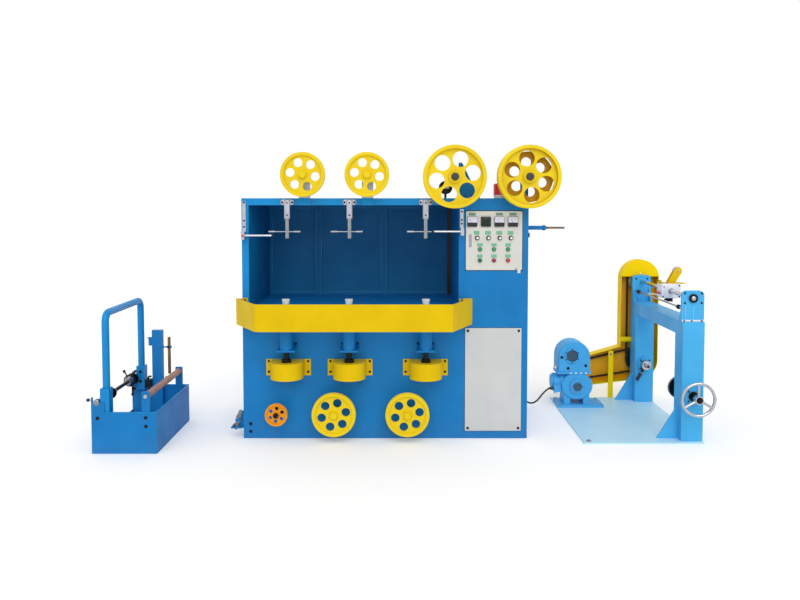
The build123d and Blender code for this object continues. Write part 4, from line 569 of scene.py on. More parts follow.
def drawn(name: str, corners: list[Point], fill: str) -> bpy.types.Object:
    """Start a piece as one loop through some corners, and leave it in edit mode, selected.

    Args:
        name: the piece's name.
        corners: the loop's corners, in order, in metres.
        fill: NGON where the loop is filled by a face, and otherwise NOTHING.

    Returns:
        The piece.
    """
    free()
    bpy.ops.mesh.primitive_circle_add(vertices=len(corners), radius=0.01, fill_type=fill)
    piece = bpy.context.object
    piece.name = name
    for vertex, corner in zip(piece.data.vertices, corners):
        vertex.co = corner
    bpy.ops.object.mode_set(mode="EDIT")
    bpy.ops.mesh.select_all(action="SELECT")
    return piece


def ring(
    name: str, place: Point, way: Way | Point, section: Profile, steps: int = 40
) -> bpy.types.Object:
    """Model a ring by spinning its closed section about its axis.

    Args:
        name: the piece's name.
        place: the centre of the ring's foot, in metres.
        way: the direction of its axis.
        section: radius and height of the section's corners, in metres.
        steps: how many steps the spin takes.

    Returns:
        The piece.
    """
    piece = drawn(name, [(radius, 0.0, height) for radius, height in section], "NOTHING")
    bpy.ops.mesh.spin(steps=steps, angle=math.tau, center=(0, 0, 0), axis=(0, 0, 1))
    bpy.ops.mesh.select_all(action="SELECT")
    bpy.ops.mesh.remove_doubles(threshold=0.00002)
    bpy.ops.mesh.normals_make_consistent(inside=False)
    bpy.ops.object.mode_set(mode="OBJECT")
    return stand(piece, place, way)


def outlined(
    name: str, outline: Profile, low: float, high: float, edge: float = 0.0008
) -> bpy.types.Object:
    """Model an upright plate by extruding its outline through the Y axis.

    Args:
        name: the piece's name.
        outline: the x and z of the outline's corners, in order, in metres.
        low: the y of its front face.
        high: the y of its back face.
        edge: the width of the bevel round both faces.

    Returns:
        The piece.
    """
    piece = drawn(name, [(x, low, z) for x, z in outline], "NGON")
    bpy.ops.mesh.extrude_region_move(TRANSFORM_OT_translate={"value": (0, high - low, 0)})
    bpy.ops.mesh.select_all(action="SELECT")
    bpy.ops.mesh.normals_make_consistent(inside=False)
    bpy.ops.object.mode_set(mode="OBJECT")
    ease = piece.modifiers.new("ease", "BEVEL")
    ease.width = edge
    ease.segments = 2
    ease.limit_method = "ANGLE"
    ease.angle_limit = math.radians(50)
    bpy.ops.object.modifier_apply(modifier=ease.name)
    return settle(piece)


def hull(
    one: tuple[float, float, float], two: tuple[float, float, float], steps: int = 14
) -> Profile:
    """Outline the taut band round two circles.

    Args:
        one: x, z and radius of the first circle.
        two: x, z and radius of the second circle.
        steps: how many steps each arc has.

    Returns:
        The x and z of the outline's corners.
    """
    across, rise = two[0] - one[0], two[1] - one[1]
    along = math.atan2(rise, across)
    lean = math.acos((one[2] - two[2]) / math.hypot(across, rise))
    arcs = ((one, along + lean, math.tau - 2 * lean), (two, along - lean, 2 * lean))
    return [
        (
            x + radius * math.cos(start + sweep * i / steps),
            z + radius * math.sin(start + sweep * i / steps),
        )
        for (x, z, radius), start, sweep in arcs
        for i in range(steps + 1)
    ]


def rod(
    name: str, start: Point, end: Point, radius: float, sides: int = 20, ease: float = 0.15
) -> bpy.types.Object:
    """Model a round bar with eased ends from one point to another.

    Args:
        name: the piece's name.
        start: the middle of its first end, in metres.
        end: the middle of its other end.
        radius: its radius.
        sides: how many sides it has.
        ease: the ends' easing, as a share of the radius.

    Returns:
        The piece.
    """
    way = Vector(end) - Vector(start)
    lip = radius * ease
    steps = [(radius - lip, 0.0), (radius, lip), (radius, way.length - lip), (radius - lip, way.length)]
    return turned(name, start, tuple(way.normalized()), steps, sides)


def ball(
    name: str, place: Point, way: Way | Point, radius: float, neck: float = 0.4
) -> bpy.types.Object:
    """Model a round grip with a flat where its stem goes in.

    Args:
        name: the piece's name.
        place: the middle of the flat, in metres.
        way: the direction that it grows in.
        radius: its radius.
        neck: the flat's radius, as a share of the grip's.

    Returns:
        The piece.
    """
    first = math.asin(neck)
    angles = [first + (math.pi - 0.12 - first) * i / 8 for i in range(9)]
    steps = [(radius * math.sin(a), radius * (math.cos(first) - math.cos(a))) for a in angles]
    return turned(name, place, way, steps, 24)


def cut(piece: bpy.types.Object, tool: bpy.types.Object) -> bpy.types.Object:
    """Cut a tool's shape out of a piece, and remove the tool.

    Args:
        piece: what is cut.
        tool: the closed shape that is taken away.

    Returns:
        The piece.
    """
    pick(piece)
    taken = piece.modifiers.new("cut", "BOOLEAN")
    taken.operation = "DIFFERENCE"
    taken.object = tool
    bpy.ops.object.modifier_apply(modifier=taken.name)
    bpy.data.objects.remove(tool)
    return settle(piece)


def bored(
    piece: bpy.types.Object, place: Point, way: Way, radius: float, depth: float
) -> bpy.types.Object:
    """Bore a round hole through a piece, from a point and in a direction."""
    return cut(piece, turned("cutter", place, way, [(radius, 0.0), (radius, depth)], 40))


def around(middle: Point, radius: float, count: int, start: float = 0.0) -> list[Point]:
    """Space points evenly on a circle that faces the front.

    Args:
        middle: the circle's centre.
        radius: the circle's radius.
        count: how many points there are.
        start: the first point's angle, in degrees.

    Returns:
        The points.
    """
    x, y, z = middle
    angles = [math.radians(start + 360 * i / count) for i in range(count)]
    return [(x + radius * math.cos(angle), y, z + radius * math.sin(angle)) for angle in angles]


def copied(master: bpy.types.Object, steps: list[Point]) -> list[bpy.types.Object]:
    """Copy a piece, each copy with its own mesh, and keep the first where it is.

    Args:
        master: the piece that is copied.
        steps: how far each copy stands from the master, in metres.

    Returns:
        The master and its copies.
    """
    pieces = [master]
    for step in steps:
        twin = master.copy()
        twin.data = master.data.copy()
        bpy.context.collection.objects.link(twin)
        twin.data.transform(Matrix.Translation(step))
        pieces.append(twin)
    return pieces


def joined(name: str, pieces: list[bpy.types.Object]) -> bpy.types.Object:
    """Join pieces into one that has its own name.

    Args:
        name: the joined piece's name.
        pieces: what is joined.

    Returns:
        The joined piece.
    """
    pick(pieces[0])
    for piece in pieces:
        piece.select_set(True)
    if len(pieces) > 1:
        bpy.ops.object.join()
    pieces[0].name = name
    return pieces[0]


def dressed(
    piece: bpy.types.Object,
    finish: Finish,
    body: str = ROOT,
    stands_for: tuple[str, ...] = (),
) -> bpy.types.Object:
    """Give a piece its finish and the body that it moves with, and report it.

    Args:
        piece: the finished piece.
        finish: its surface.
        body: the CAD body that it rides on.
        stands_for: the CAD nodes that it replaces.

    Returns:
        The piece.
    """
    piece.data.materials.clear()
    piece.data.materials.append(finish.material())
    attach(piece, body)
    if stands_for:
        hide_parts(*stands_for)
    LOG.info("%s rides on %s in %s", piece.name, body, finish.name)
    return piece


def shifts(places: Sequence[Point]) -> list[Point]:
    """Give the way from the first of some places to each of the others."""
    return [tuple(Vector(place) - Vector(places[0])) for place in places[1:]]


def across(marks: Sequence[float]) -> list[Point]:
    """Give the way from the first of some x values to each of the others."""
    return [(mark - marks[0], 0.0, 0.0) for mark in marks[1:]]


def row(
    master: bpy.types.Object,
    moves: list[Point],
    finish: Finish,
    body: str = ROOT,
    stands_for: tuple[str, ...] = (),
) -> bpy.types.Object:
    """Copy a piece, and dress it and its copies as one.

    Args:
        master: the piece, whose name the row keeps.
        moves: how far each copy stands from it, in metres.
        finish: their surface.
        body: the CAD body that they ride on.
        stands_for: the CAD nodes that they replace.

    Returns:
        The row as one piece.
    """
    return dressed(joined(master.name, copied(master, moves)), finish, body, stands_for)


@dataclass
class Fasteners:
    """Like screws or bolts on one face, which make one piece."""

    name: str
    places: Sequence[Point]
    way: Way = Way.FRONT
    head: Head = Head.HEX
    radius: float = 0.008
    washer: float = 1.5
    finish: Finish = BLACK_OXIDE
    body: str = ROOT
    base: float = 0.0015

    def build(self) -> bpy.types.Object:
        """Model one fastener with its washer, and repeat it at every place.

        Returns:
            The fasteners as one piece.
        """
        sides, tall, crown = self.head.value
        height = self.radius * tall
        first, wide = self.places[0], self.radius * self.washer
        plate = turned(self.name, first, self.way, [(wide, 0.0), (wide, self.base)], 20)
        profile = [(self.radius, self.base), (self.radius, self.base + height * 0.8)]
        profile.append((self.radius * (0.88 - crown * 0.4), self.base + height))
        if self.head is Head.SOCKET:
            profile.append((self.radius * 0.5, self.base + height))
            profile.append((self.radius * 0.45, self.base + height * 0.4))
        head = turned("head", first, self.way, profile, sides, 15.0)
        return row(joined(self.name, [plate, head]), shifts(self.places), self.finish, self.body)


@dataclass
class Studio:
    """The camera at the photograph's angle, a pale floor and plain soft light."""

    eye: Point = (0.107, -5.885, 1.723)
    pitch: float = 87.0
    lens: float = 34.0
    sensor: float = 36.0
    shift: float = -0.073
    sky: float = 0.78
    sun: float = 1.05
    sun_way: Point = (-0.08, 0.78, -0.62)
    sun_spread: float = 50.0
    floor_size: float = 60.0
    floor_grey: float = 0.93
    floor_glow: float = 0.16

    def camera(self) -> None:
        """Set the camera where the photograph was taken from."""
        data = bpy.data.cameras.new("camera")
        data.lens = self.lens
        data.sensor_width = self.sensor
        data.shift_y = self.shift
        data.dof.use_dof = False
        eye = bpy.data.objects.new("camera", data)
        eye.location = self.eye
        eye.rotation_euler = (math.radians(self.pitch), 0.0, 0.0)
        bpy.context.collection.objects.link(eye)
        bpy.context.scene.camera = eye

    def light(self) -> None:
        """Hang one broad lamp and a plain sky that reads white to the camera."""
        lamp = bpy.data.lights.new("softbox", "SUN")
        lamp.energy = self.sun
        lamp.angle = math.radians(self.sun_spread)
        holder = bpy.data.objects.new("softbox", lamp)
        holder.rotation_mode = "QUATERNION"
        holder.rotation_quaternion = Vector((0, 0, -1)).rotation_difference(Vector(self.sun_way))
        bpy.context.collection.objects.link(holder)
        world = bpy.data.worlds.new("sky")
        bpy.context.scene.world = world
        world.use_nodes = True
        tree = world.node_tree
        tree.nodes.clear()
        path = add_node(tree, "ShaderNodeLightPath").outputs
        seen = path["Is Camera Ray"]
        for other in ("Is Transmission Ray", "Is Glossy Ray"):
            links = {0: seen, 1: path[other]}
            seen = add_node(tree, "ShaderNodeMath", {"operation": "MAXIMUM"}, links).outputs[0]
        dim = add_node(tree, "ShaderNodeBackground", {"Color": WHITE, "Strength": self.sky})
        white = add_node(tree, "ShaderNodeBackground", {"Color": WHITE, "Strength": 1.0})
        links = {0: seen, 1: dim.outputs[0], 2: white.outputs[0]}
        mix = add_node(tree, "ShaderNodeMixShader", {}, links)
        add_node(tree, "ShaderNodeOutputWorld", {}, {"Surface": mix.outputs[0]})

    def floor(self) -> None:
        """Lay a pale floor that keeps the object's shadow."""
        free()
        bpy.ops.mesh.primitive_plane_add(size=self.floor_size, location=(0, 0, 0))
        ground = bpy.context.object
        ground.name = "studio_floor"
        made = bpy.data.materials.new("pale_floor")
        made.use_nodes = True
        tree = made.node_tree
        tree.nodes.clear()
        grey = (self.floor_grey, self.floor_grey, self.floor_grey, 1.0)
        pale = add_node(tree, "ShaderNodeBsdfDiffuse", {"Color": grey})
        glow = add_node(tree, "ShaderNodeEmission", {"Color": WHITE, "Strength": self.floor_glow})
        both = add_node(tree, "ShaderNodeAddShader", {}, {0: pale.outputs[0], 1: glow.outputs[0]})
        seen = add_node(tree, "ShaderNodeLightPath").outputs["Is Camera Ray"]
        links = {0: seen, 1: pale.outputs[0], 2: both.outputs[0]}
        mix = add_node(tree, "ShaderNodeMixShader", {}, links)
        add_node(tree, "ShaderNodeOutputMaterial", {}, {"Surface": mix.outputs[0]})
        ground.data.materials.append(made)

    def build(self) -> None:
        """Set up the camera, the lamps and the floor."""
        bpy.context.scene.view_settings.view_transform = "Standard"
        self.camera()
        self.light()
        self.floor()
        LOG.info("studio set")


@dataclass
class MotorCable:
    """The cable from the cabinet's side to the gearmotor, and its strain reliefs."""

    route: tuple[Point, ...] = (
        (1.057, 0.25, 0.118),
        (1.095, 0.25, 0.118),
        (1.212, 0.285, 0.04),
        (1.329, 0.3427, 0.172),
        (1.365, 0.3427, 0.172),
    )
    radius: float = 0.007

    def cable(self) -> bpy.types.Object:
        """Draw the cable as one smooth curve along its route.

        Returns:
            The curve.
        """
        data = bpy.data.curves.new("motor_cable_sheath", "CURVE")
        data.dimensions = "3D"
        data.bevel_depth = self.radius
        data.bevel_resolution = 6
        data.use_fill_caps = True
        spline = data.splines.new("NURBS")
        spline.points.add(len(self.route) - 1)
        for point, place in zip(spline.points, self.route):
            point.co = (*place, 1.0)
        spline.order_u = 3
        spline.use_endpoint_u = True
        spline.resolution_u = 24
        piece = bpy.data.objects.new("motor_cable_sheath", data)
        bpy.context.collection.objects.link(piece)
        return piece

    def build(self) -> None:
        """Build the cable and a tapered sleeve at each end."""
        piece = dressed(self.cable(), SHEATH, stands_for=("motor_cable",))
        steps = [(0.0115, 0.0), (0.0115, 0.004), (0.0095, 0.005), (0.0082, 0.022)]
        ends = (
            ("cabinet_strain_relief", self.route[0], Way.RIGHT),
            ("motor_strain_relief", self.route[-1], Way.LEFT),
        )
        sleeves = [dressed(turned(name, place, way, steps, 28), BLACK_ABS) for name, place, way in ends]


@dataclass
class ControlPanel:
    """The dark seal strip with its painted shade, meters, rotary switches, push buttons and label plates of
    the panel.
    """

    middle: float = 0.7835
    face: float = -0.458
    width: float = 0.405
    span: tuple[float, float] = (1.233, 1.657)
    rim: float = 0.005
    meters: tuple[float, ...] = (-0.158, -0.06, 0.037, 0.134)
    display: int = 1
    meter_height: float = 1.582
    meter_size: float = 0.072
    meter_depth: float = 0.0132
    tick_circle: float = 0.033
    knobs: tuple[float, ...] = (-0.1215, -0.0405, 0.0405, 0.1215)
    knob_height: float = 1.465
    cap_depth: float = 0.0222
    buttons: tuple[float, ...] = (-0.101, 0.0, 0.101)
    button_heights: tuple[float, float] = (1.383, 1.303)

    def gasket(self) -> None:
        """Model the dark strip round the panel, a rubber seal that also stands in as painted shade for the
        shadow at the panel's edges, its latch and the side's catch.
        """
        left, right = self.middle - self.width / 2, self.middle + self.width / 2
        low = (left - self.rim, -0.4522, self.span[0] - self.rim)
        high = (right + self.rim, SKIN, self.span[1] + self.rim)
        dressed(slab("panel_seal_and_edge_shade", low, high, 0.0008), BELT_RUBBER)
        place = (self.middle + 0.161, self.face, 1.2415)
        steps = [(0.009, 0.0), (0.009, 0.003), (0.0075, 0.0045), (0.003, 0.0045)]
        dressed(turned("panel_latch_key", place, Way.FRONT, steps, 24), CHROME)
        catch = slab("cabinet_side_catch", (1.0331, -0.438, 1.468), (1.044, -0.42, 1.502), 0.003)
        dressed(catch, BLACK_ABS)

    def marks(self, x: float, y: float, z: float) -> list[bpy.types.Object]:
        """Model one meter's ticks, every second one longer, and its pointer.

        Args:
            x: the meter's middle.
            y: the depth of its scale's face.
            z: the meter's middle.

        Returns:
            The ticks and the pointer.
        """
        bars, pivot, near = [], z - 0.01, self.tick_circle
        for angle in range(-48, 49, 12):
            out, up = math.sin(math.radians(angle)), math.cos(math.radians(angle))
            far = near + (0.005 if angle % 24 == 0 else 0.003)
            start, end = (x + near * out, y, pivot + near * up), (x + far * out, y, pivot + far * up)
            bars.append(rod("tick", start, end, 0.0006, 6))
        bars.append(rod("pointer", (x, y, z - 0.006), (x - 0.016, y, z + 0.019), 0.0007, 6))
        return bars

    def dials(self) -> None:
        """Model the meters: cases, pale scales with their marks, and the display's glass."""
        half = self.meter_size / 2
        front = self.face - self.meter_depth
        boss = [(0.0075, 0.0), (0.0075, 0.0018), (0.006, 0.0026)]
        cases, scales, marks = [], [], []
        for index, offset in enumerate(self.meters):
            x, z = self.middle + offset, self.meter_height
            cases.append(slab("case", (x - half, front, z - half), (x + half, self.face, z + half), 0.003))
            if index == self.display:
                inner = half - 0.006
                low, high = (x - inner, front - 0.0006, z - inner), (x + inner, front + 0.001, z + inner)
                dressed(slab("display_glass", low, high), DARK_GLASS)
                continue
            inner = half - 0.002
            low, high = (x - inner, front - 0.0007, z - 0.006), (x + inner, front + 0.001, z + inner)
            scales.append(slab("scale", low, high, 0.0006))
            cases.append(turned("boss", (x, front, z - 0.014), Way.FRONT, boss, 24))
            marks += self.marks(x, front - 0.0009, z)
        dressed(joined("meter_cases", cases), BLACK_ABS, stands_for=("panel_meters",))
        dressed(joined("meter_scales", scales), SCALE_CARD)
        dressed(joined("meter_marks", marks), BLACK_ABS)

    def switches(self) -> None:
        """Model the rotary switches: black skirts and grips with white caps."""
        x, y, z = self.middle + self.knobs[0], self.face, self.knob_height
        steps = [(0.017, 0.0), (0.017, 0.003), (0.0155, 0.0045), (0.0132, 0.006)]
        steps += [(0.0118, 0.02), (0.0108, 0.0225)]
        grip = turned("rotary_switches", (x, y, z), Way.FRONT, steps, 28)
        row(grip, across(self.knobs), BLACK_ABS, stands_for=("panel_knobs",))
        steps = [(0.0092, 0.0), (0.0092, 0.0016), (0.0078, 0.0026)]
        cap = turned("rotary_switch_caps", (x, y - self.cap_depth, z), Way.FRONT, steps, 24)
        row(cap, across(self.knobs), WHITE_NYLON)

    def push_buttons(self) -> None:
        """Model the push buttons: dark bezels, partly painted shade round each cap, and caps of four
        colours.
        """
        places = [(self.middle + x, self.face, z) for z in self.button_heights for x in self.buttons]
        steps = [(0.0158, 0.0), (0.0158, 0.0025), (0.0148, 0.004), (0.0118, 0.004)]
        bezel = turned("button_bezels", places[0], Way.FRONT, steps, 28)
        row(bezel, shifts(places), DARK_STEEL_GREASE_AND_SHADE)
        steps = [(0.0128, 0.002), (0.0128, 0.014), (0.0114, 0.0172), (0.0065, 0.0188), (0.002, 0.0192)]
        for name, spots, finish, stands_for in (
            ("green_button_caps", places[:3], BUTTON_GREEN, ("panel_buttons",)),
            ("dark_button_cap", places[3:4], BUTTON_PINE, ()),
            ("crimson_button_cap", places[4:5], BUTTON_CRIMSON, ()),
            ("red_button_cap", places[5:], BUTTON_RED, ()),
        ):
            cap = turned(name, spots[0], Way.FRONT, steps, 28)
            row(cap, shifts(spots), finish, stands_for=stands_for)

    def labels(self) -> None:
        """Model the blank label plates over the instruments."""
        near, far = self.face - 0.0012, self.face + 0.0002
        for name, places, half, low, high, finish in (
            ("meter_labels", [self.meters[0], *self.meters[2:]], 0.025, 1.6265, 1.6455, SAGE_LABEL),
            ("switch_labels", [x - 0.004 for x in self.knobs], 0.021, 1.4895, 1.5155, MINT_LABEL),
            ("upper_button_labels", self.buttons, 0.02, 1.404, 1.427, MINT_LABEL),
            ("lower_button_labels", self.buttons, 0.02, 1.324, 1.346, MINT_LABEL),
        ):
            x = self.middle + places[0]
            plate = slab(name, (x - half, near, low), (x + half, far, high), 0.0005)
            row(plate, across(places), finish)
        plate = slab("schedule_plate", (0.602, near, 1.399), (0.6235, far, 1.491), 0.0005)
        dressed(plate, LAVENDER_LABEL)

    def build(self) -> None:
        """Build the whole panel."""
        self.gasket()
        self.dials()
        self.switches()
        self.push_buttons()
        self.labels()


@dataclass
class HousingTrim:
    """The screws, bolts, tabs and gasket on the taping unit's housing."""

    front: float = -0.45
    rim: float = 0.003
    inset: float = 0.02
    ear: float = 0.143
    ear_heights: tuple[float, float] = (0.57, 0.492)
    flange: float = 0.055
    flange_heights: tuple[float, float] = (0.7, 0.93)

    def access_panel(self) -> None:
        """Model the access panel's gasket and its four corner screws."""
        low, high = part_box("access_panel")
        near = (low[0] - self.rim, -0.4512, low[2] - self.rim)
        far = (high[0] + self.rim, SKIN, high[2] + self.rim)
        gasket = slab("access_panel_gasket", near, far, 0.0005)
        dressed(gasket, BELT_RUBBER)
        corners = [
            (x, low[1], z)
            for x in (low[0] + self.inset, high[0] - self.inset)
            for z in (low[2] + self.inset, high[2] - self.inset)
        ]
        Fasteners("access_panel_screws", corners, Way.FRONT, Head.PAN, 0.0065).build()

    def spread(self, reach: float, depth: float, heights: tuple[float, float]) -> list[Point]:
        """Place two pairs of fasteners at each spindle.

        Args:
            reach: how far they stand to each side of its axis, in metres.
            depth: how far they stand in front of the housing.
            heights: the z of each pair.

        Returns:
            The places.
        """
        y = self.front - depth
        return [(x + side * reach, y, z) for x in SPINDLES for side in (-1, 1) for z in heights]

    def guards(self) -> None:
        """Model the pulley guards' screws, the rail's tabs and their bolts."""
        ears = self.spread(self.ear, 0.004, self.ear_heights)
        Fasteners("pulley_guard_screws", ears, Way.FRONT, Head.HEX, 0.0065, 1.35).build()
        tabs = [
            slab("left_tab", (-1.031, -0.456, 1.004), (-0.994, SKIN, 1.032), 0.002),
            slab("right_tab", (0.535, -0.4595, 1.004), (0.572, -0.4549, 1.024), 0.002),
        ]
        dressed(joined("rail_tabs", tabs), GUARD_ENAMEL)
        places = [(-1.012, -0.456, 1.018), (0.5535, -0.4595, 1.014), (-1.055, -0.455, 0.9)]
        places += [(-1.055, -0.455, 0.995), (0.6, -0.455, 0.9), (0.6, -0.455, 0.985)]
        Fasteners("rail_bolts", places, radius=0.006, finish=TURNED).build()

    def flanges(self) -> None:
        """Model the bolts of the spindle housings, and the screws at the lower left."""
        places = self.spread(self.flange, 0.014, self.flange_heights)
        Fasteners("spindle_housing_bolts", places, Way.FRONT, Head.SOCKET, 0.0065).build()
        places = [(-0.982, self.front, z) for z in (0.108, 0.051)]
        Fasteners("left_lower_screws", places).build()

    def build(self) -> None:
        """Build the trim."""
        self.access_panel()
        self.guards()
        self.flanges()


@dataclass
class BayPaintedLight:
    """Strips of painted highlight round the bay's three back panels, and a skin of painted shade on its
    left wall.
    """

    face: float = 0.415
    edges: tuple[tuple[float, float], ...] = ((-0.955, -0.601), (-0.545, -0.056), (0.0, 0.503))
    span: tuple[float, float] = (0.978, 1.672)
    width: float = 0.005
    fold: float = 0.0004

    def build(self) -> None:
        """Model four strips of painted highlight round each panel's opening, and the skin of painted shade.
        """
        near, far = self.face - 0.0012, self.face - 0.0001
        low, high = self.span
        under, over = low - self.width, high + self.width
        strips = []
        for left, right in self.edges:
            for start, foot, end, head in (
                (left - self.width, under, left, over),
                (right, under, right + self.width, over),
                (left, high, right, over),
                (left, under, right, low),
            ):
                strips.append(slab("bead", (start, near, foot), (end, far, head), self.fold))
        dressed(joined("bay_panel_highlight_strips", strips), BAY_FOLD_PAINTED_HIGHLIGHT)
        # A thin sheet of the bay's darker blue over the left wall's inside: painted shade.
        skin = slab("bay_left_wall_painted_shade", (-0.9829, -0.445, 0.952), (-0.9817, 0.4135, 1.698), self.fold)
        dressed(skin, BAY_BLUE_PAINTED_SHADE)


@dataclass
class Nozzles:
    """The white nylon sleeves over the spindles' nozzles."""

    foot: float = 1.0012
    top: float = 1.0358
    screw_depth: float = 0.033
    screw_height: float = 0.59

    def build(self) -> None:
        """Model a sleeve for each spindle, and its collar's grub screw."""
        foot, top = self.foot, self.top
        section = [(0.0092, top - 0.0002), (0.0092, top + 0.0006), (0.0262, top + 0.0006)]
        section += [(0.0282, top - 0.0012), (0.0282, top - 0.0062), (0.0232, foot + 0.0015)]
        section += [(0.0232, foot), (0.0205, foot), (0.0205, top - 0.0002)]
        for index, x in enumerate(SPINDLES, 1):
            body = f"spindle_{index}"
            sleeve = ring(f"nozzle_sleeve_{index}", (x, CABLE_PLANE, 0.0), Way.UP, section)
            dressed(sleeve, WHITE_NYLON, body)
            name = f"collar_screw_{index}"
            place = (x, CABLE_PLANE - self.screw_depth, self.screw_height)
            Fasteners(name, [place], Way.FRONT, Head.SOCKET, 0.004, 1.05, body=body).build()


@dataclass
class TapeGuides:
    """The plated heads, screws and end blocks of the hanging tape guides."""

    head: float = 1.7205
    face: float = -0.462
    stem: float = -0.474
    stem_span: tuple[float, float] = (1.622, 1.72)
    pin: float = 1.51

    def build(self) -> None:
        """Model the heads, their bolts, the stem screws and the pins' blocks."""
        first, moves = SPINDLES[0], across(SPINDLES)
        outline = hull((first - 0.031, self.head, 0.0175), (first + 0.031, self.head, 0.0175))
        row(outlined("guide_head_plates", outline, self.face - 0.002, self.face - 0.0001), moves, ZINC)
        low, high = self.stem_span
        outline = hull((first, low, 0.0165), (first, high, 0.0165))
        row(outlined("guide_stem_covers", outline, self.stem - 0.0015, self.stem - 0.0001), moves, ZINC)
        bolts = [(x + side * 0.037, self.face - 0.002, self.head) for x in SPINDLES for side in (-1, 1)]
        Fasteners("guide_head_bolts", bolts, Way.FRONT, Head.HEX, 0.0065, 1.2).build()
        screws = [(x, self.stem - 0.0015, z) for x in SPINDLES for z in (1.717, 1.628)]
        Fasteners("guide_stem_screws", screws, Way.FRONT, Head.SOCKET, 0.005, 1.2).build()
        near = (first - 0.134, -0.4725, self.pin - 0.008)
        block = slab("guide_pin_blocks", near, (first - 0.108, -0.4545, self.pin + 0.008), 0.003)
        row(block, moves, FIBRE)
        start, end = (first + 0.068, -0.468, self.pin), (first + 0.0955, -0.468, self.pin)
        row(rod("guide_pin_sleeves", start, end, 0.0078), moves, CHROME)


@dataclass
class SideFittings:
    """The guide arms' screws and tips, the cable outlet, the beacon and the lever."""

    outlet: Point = (1.0331, -0.36, 1.535)
    beacon: Point = (0.833, -0.38, 1.772)
    ribs: int = 9
    lever: Point = (-1.0785, -0.425, 0.13)
    lever_lean: float = 75.0
    lever_reach: float = 0.062

    def arms(self) -> None:
        """Model the guide arms' screws, the black tips of their bars and the clamp's knob."""
        screws = [(-1.013, -0.46, z) for z in (1.72, 1.59, 1.545)]
        screws += [(0.551, -0.46, z) for z in (1.655, 1.594, 1.5675)]
        Fasteners("arm_screws", screws, Way.FRONT, Head.SOCKET, 0.0055, 1.3).build()
        tips = [
            rod("left_tip", (-0.812, -0.488, 1.483), (-0.795, -0.488, 1.483), 0.0098),
            rod("right_tip", (0.353, -0.488, 1.512), (0.334, -0.488, 1.512), 0.0098),
        ]
        dressed(joined("arm_bar_tips", tips), BLACK_ABS)
        dressed(ball("arm_clamp_knob", (-1.013, -0.516, 1.483), Way.FRONT, 0.008, 0.7), BUTTON_RED)

    def cable_outlet(self) -> None:
        """Model the outlet tube with its collar, the dark insert and the brown rod."""
        x, y, z = self.outlet
        steps = [(0.0149, 0.0), (0.0149, 0.113), (0.017, 0.116)]
        steps += [(0.0196, 0.118), (0.0196, 0.134), (0.018, 0.1365)]
        tube = turned("outlet_tube", self.outlet, Way.RIGHT, steps)
        dressed(tube, HOUSING_ENAMEL, stands_for=("outlet_guide",))
        steps = [(0.0128, 0.0), (0.0128, 0.005), (0.0105, 0.0075), (0.008, 0.0075)]
        dressed(turned("outlet_insert", (x + 0.1363, y, z), Way.RIGHT, steps, 28), BLACK_ABS)
        dressed(rod("outlet_rod", (x + 0.143, y, z), (x + 0.2765, y, z), 0.0074), BROWN_ROD)

    def lamp(self) -> None:
        """Model the beacon's ribbed lens and the collar of its base."""
        outer, inner = 0.0476, 0.0458
        steps = [(0.0462, 0.0)]
        for rib in range(self.ribs):
            foot = 0.002 + rib * 0.0085
            steps += [(outer, foot), (outer, foot + 0.004), (inner, foot + 0.0052), (inner, foot + 0.0073)]
        steps += [(0.0445, 0.0815), (0.038, 0.0858), (0.024, 0.0875), (0.004, 0.0879)]
        lens = turned("beacon_ribbed_lens", self.beacon, Way.UP, steps, 40)
        dressed(lens, RED_LENS, stands_for=("beacon_lens",))
        section = [(0.0405, -0.006), (0.0472, -0.006), (0.0472, 0.0012), (0.0405, 0.0012)]
        dressed(ring("beacon_collar", self.beacon, Way.UP, section, 36), WHITE_NYLON)

    def lever_bracket(self) -> None:
        """Model the worn grip plate of the lever, its pivot ring and its base bolts."""
        x, y, z = self.lever
        lean = math.radians(self.lever_lean)
        out, up = self.lever_reach * math.cos(lean), self.lever_reach * math.sin(lean)
        outline = hull((x - out, z - up, 0.0132), (x + out, z + up, 0.0132))
        dressed(outlined("lever_grip_plate", outline, y - 0.0014, y - 0.0001), WORN_GREY)
        section = [(0.0141, 0.0), (0.0205, 0.0), (0.0205, 0.006), (0.019, 0.008), (0.0141, 0.008)]
        dressed(ring("lever_pivot_ring", (x, y - 0.0014, z), Way.FRONT, section, 32), TURNED)
        places = [(-1.108, depth, 0.0835) for depth in (-0.432, -0.378)]
        Fasteners("lever_base_bolts", places, Way.UP).build()

    def build(self) -> None:
        """Build the fittings at the unit's sides and on its roof."""
        self.arms()
        self.cable_outlet()
        self.lamp()
        self.lever_bracket()


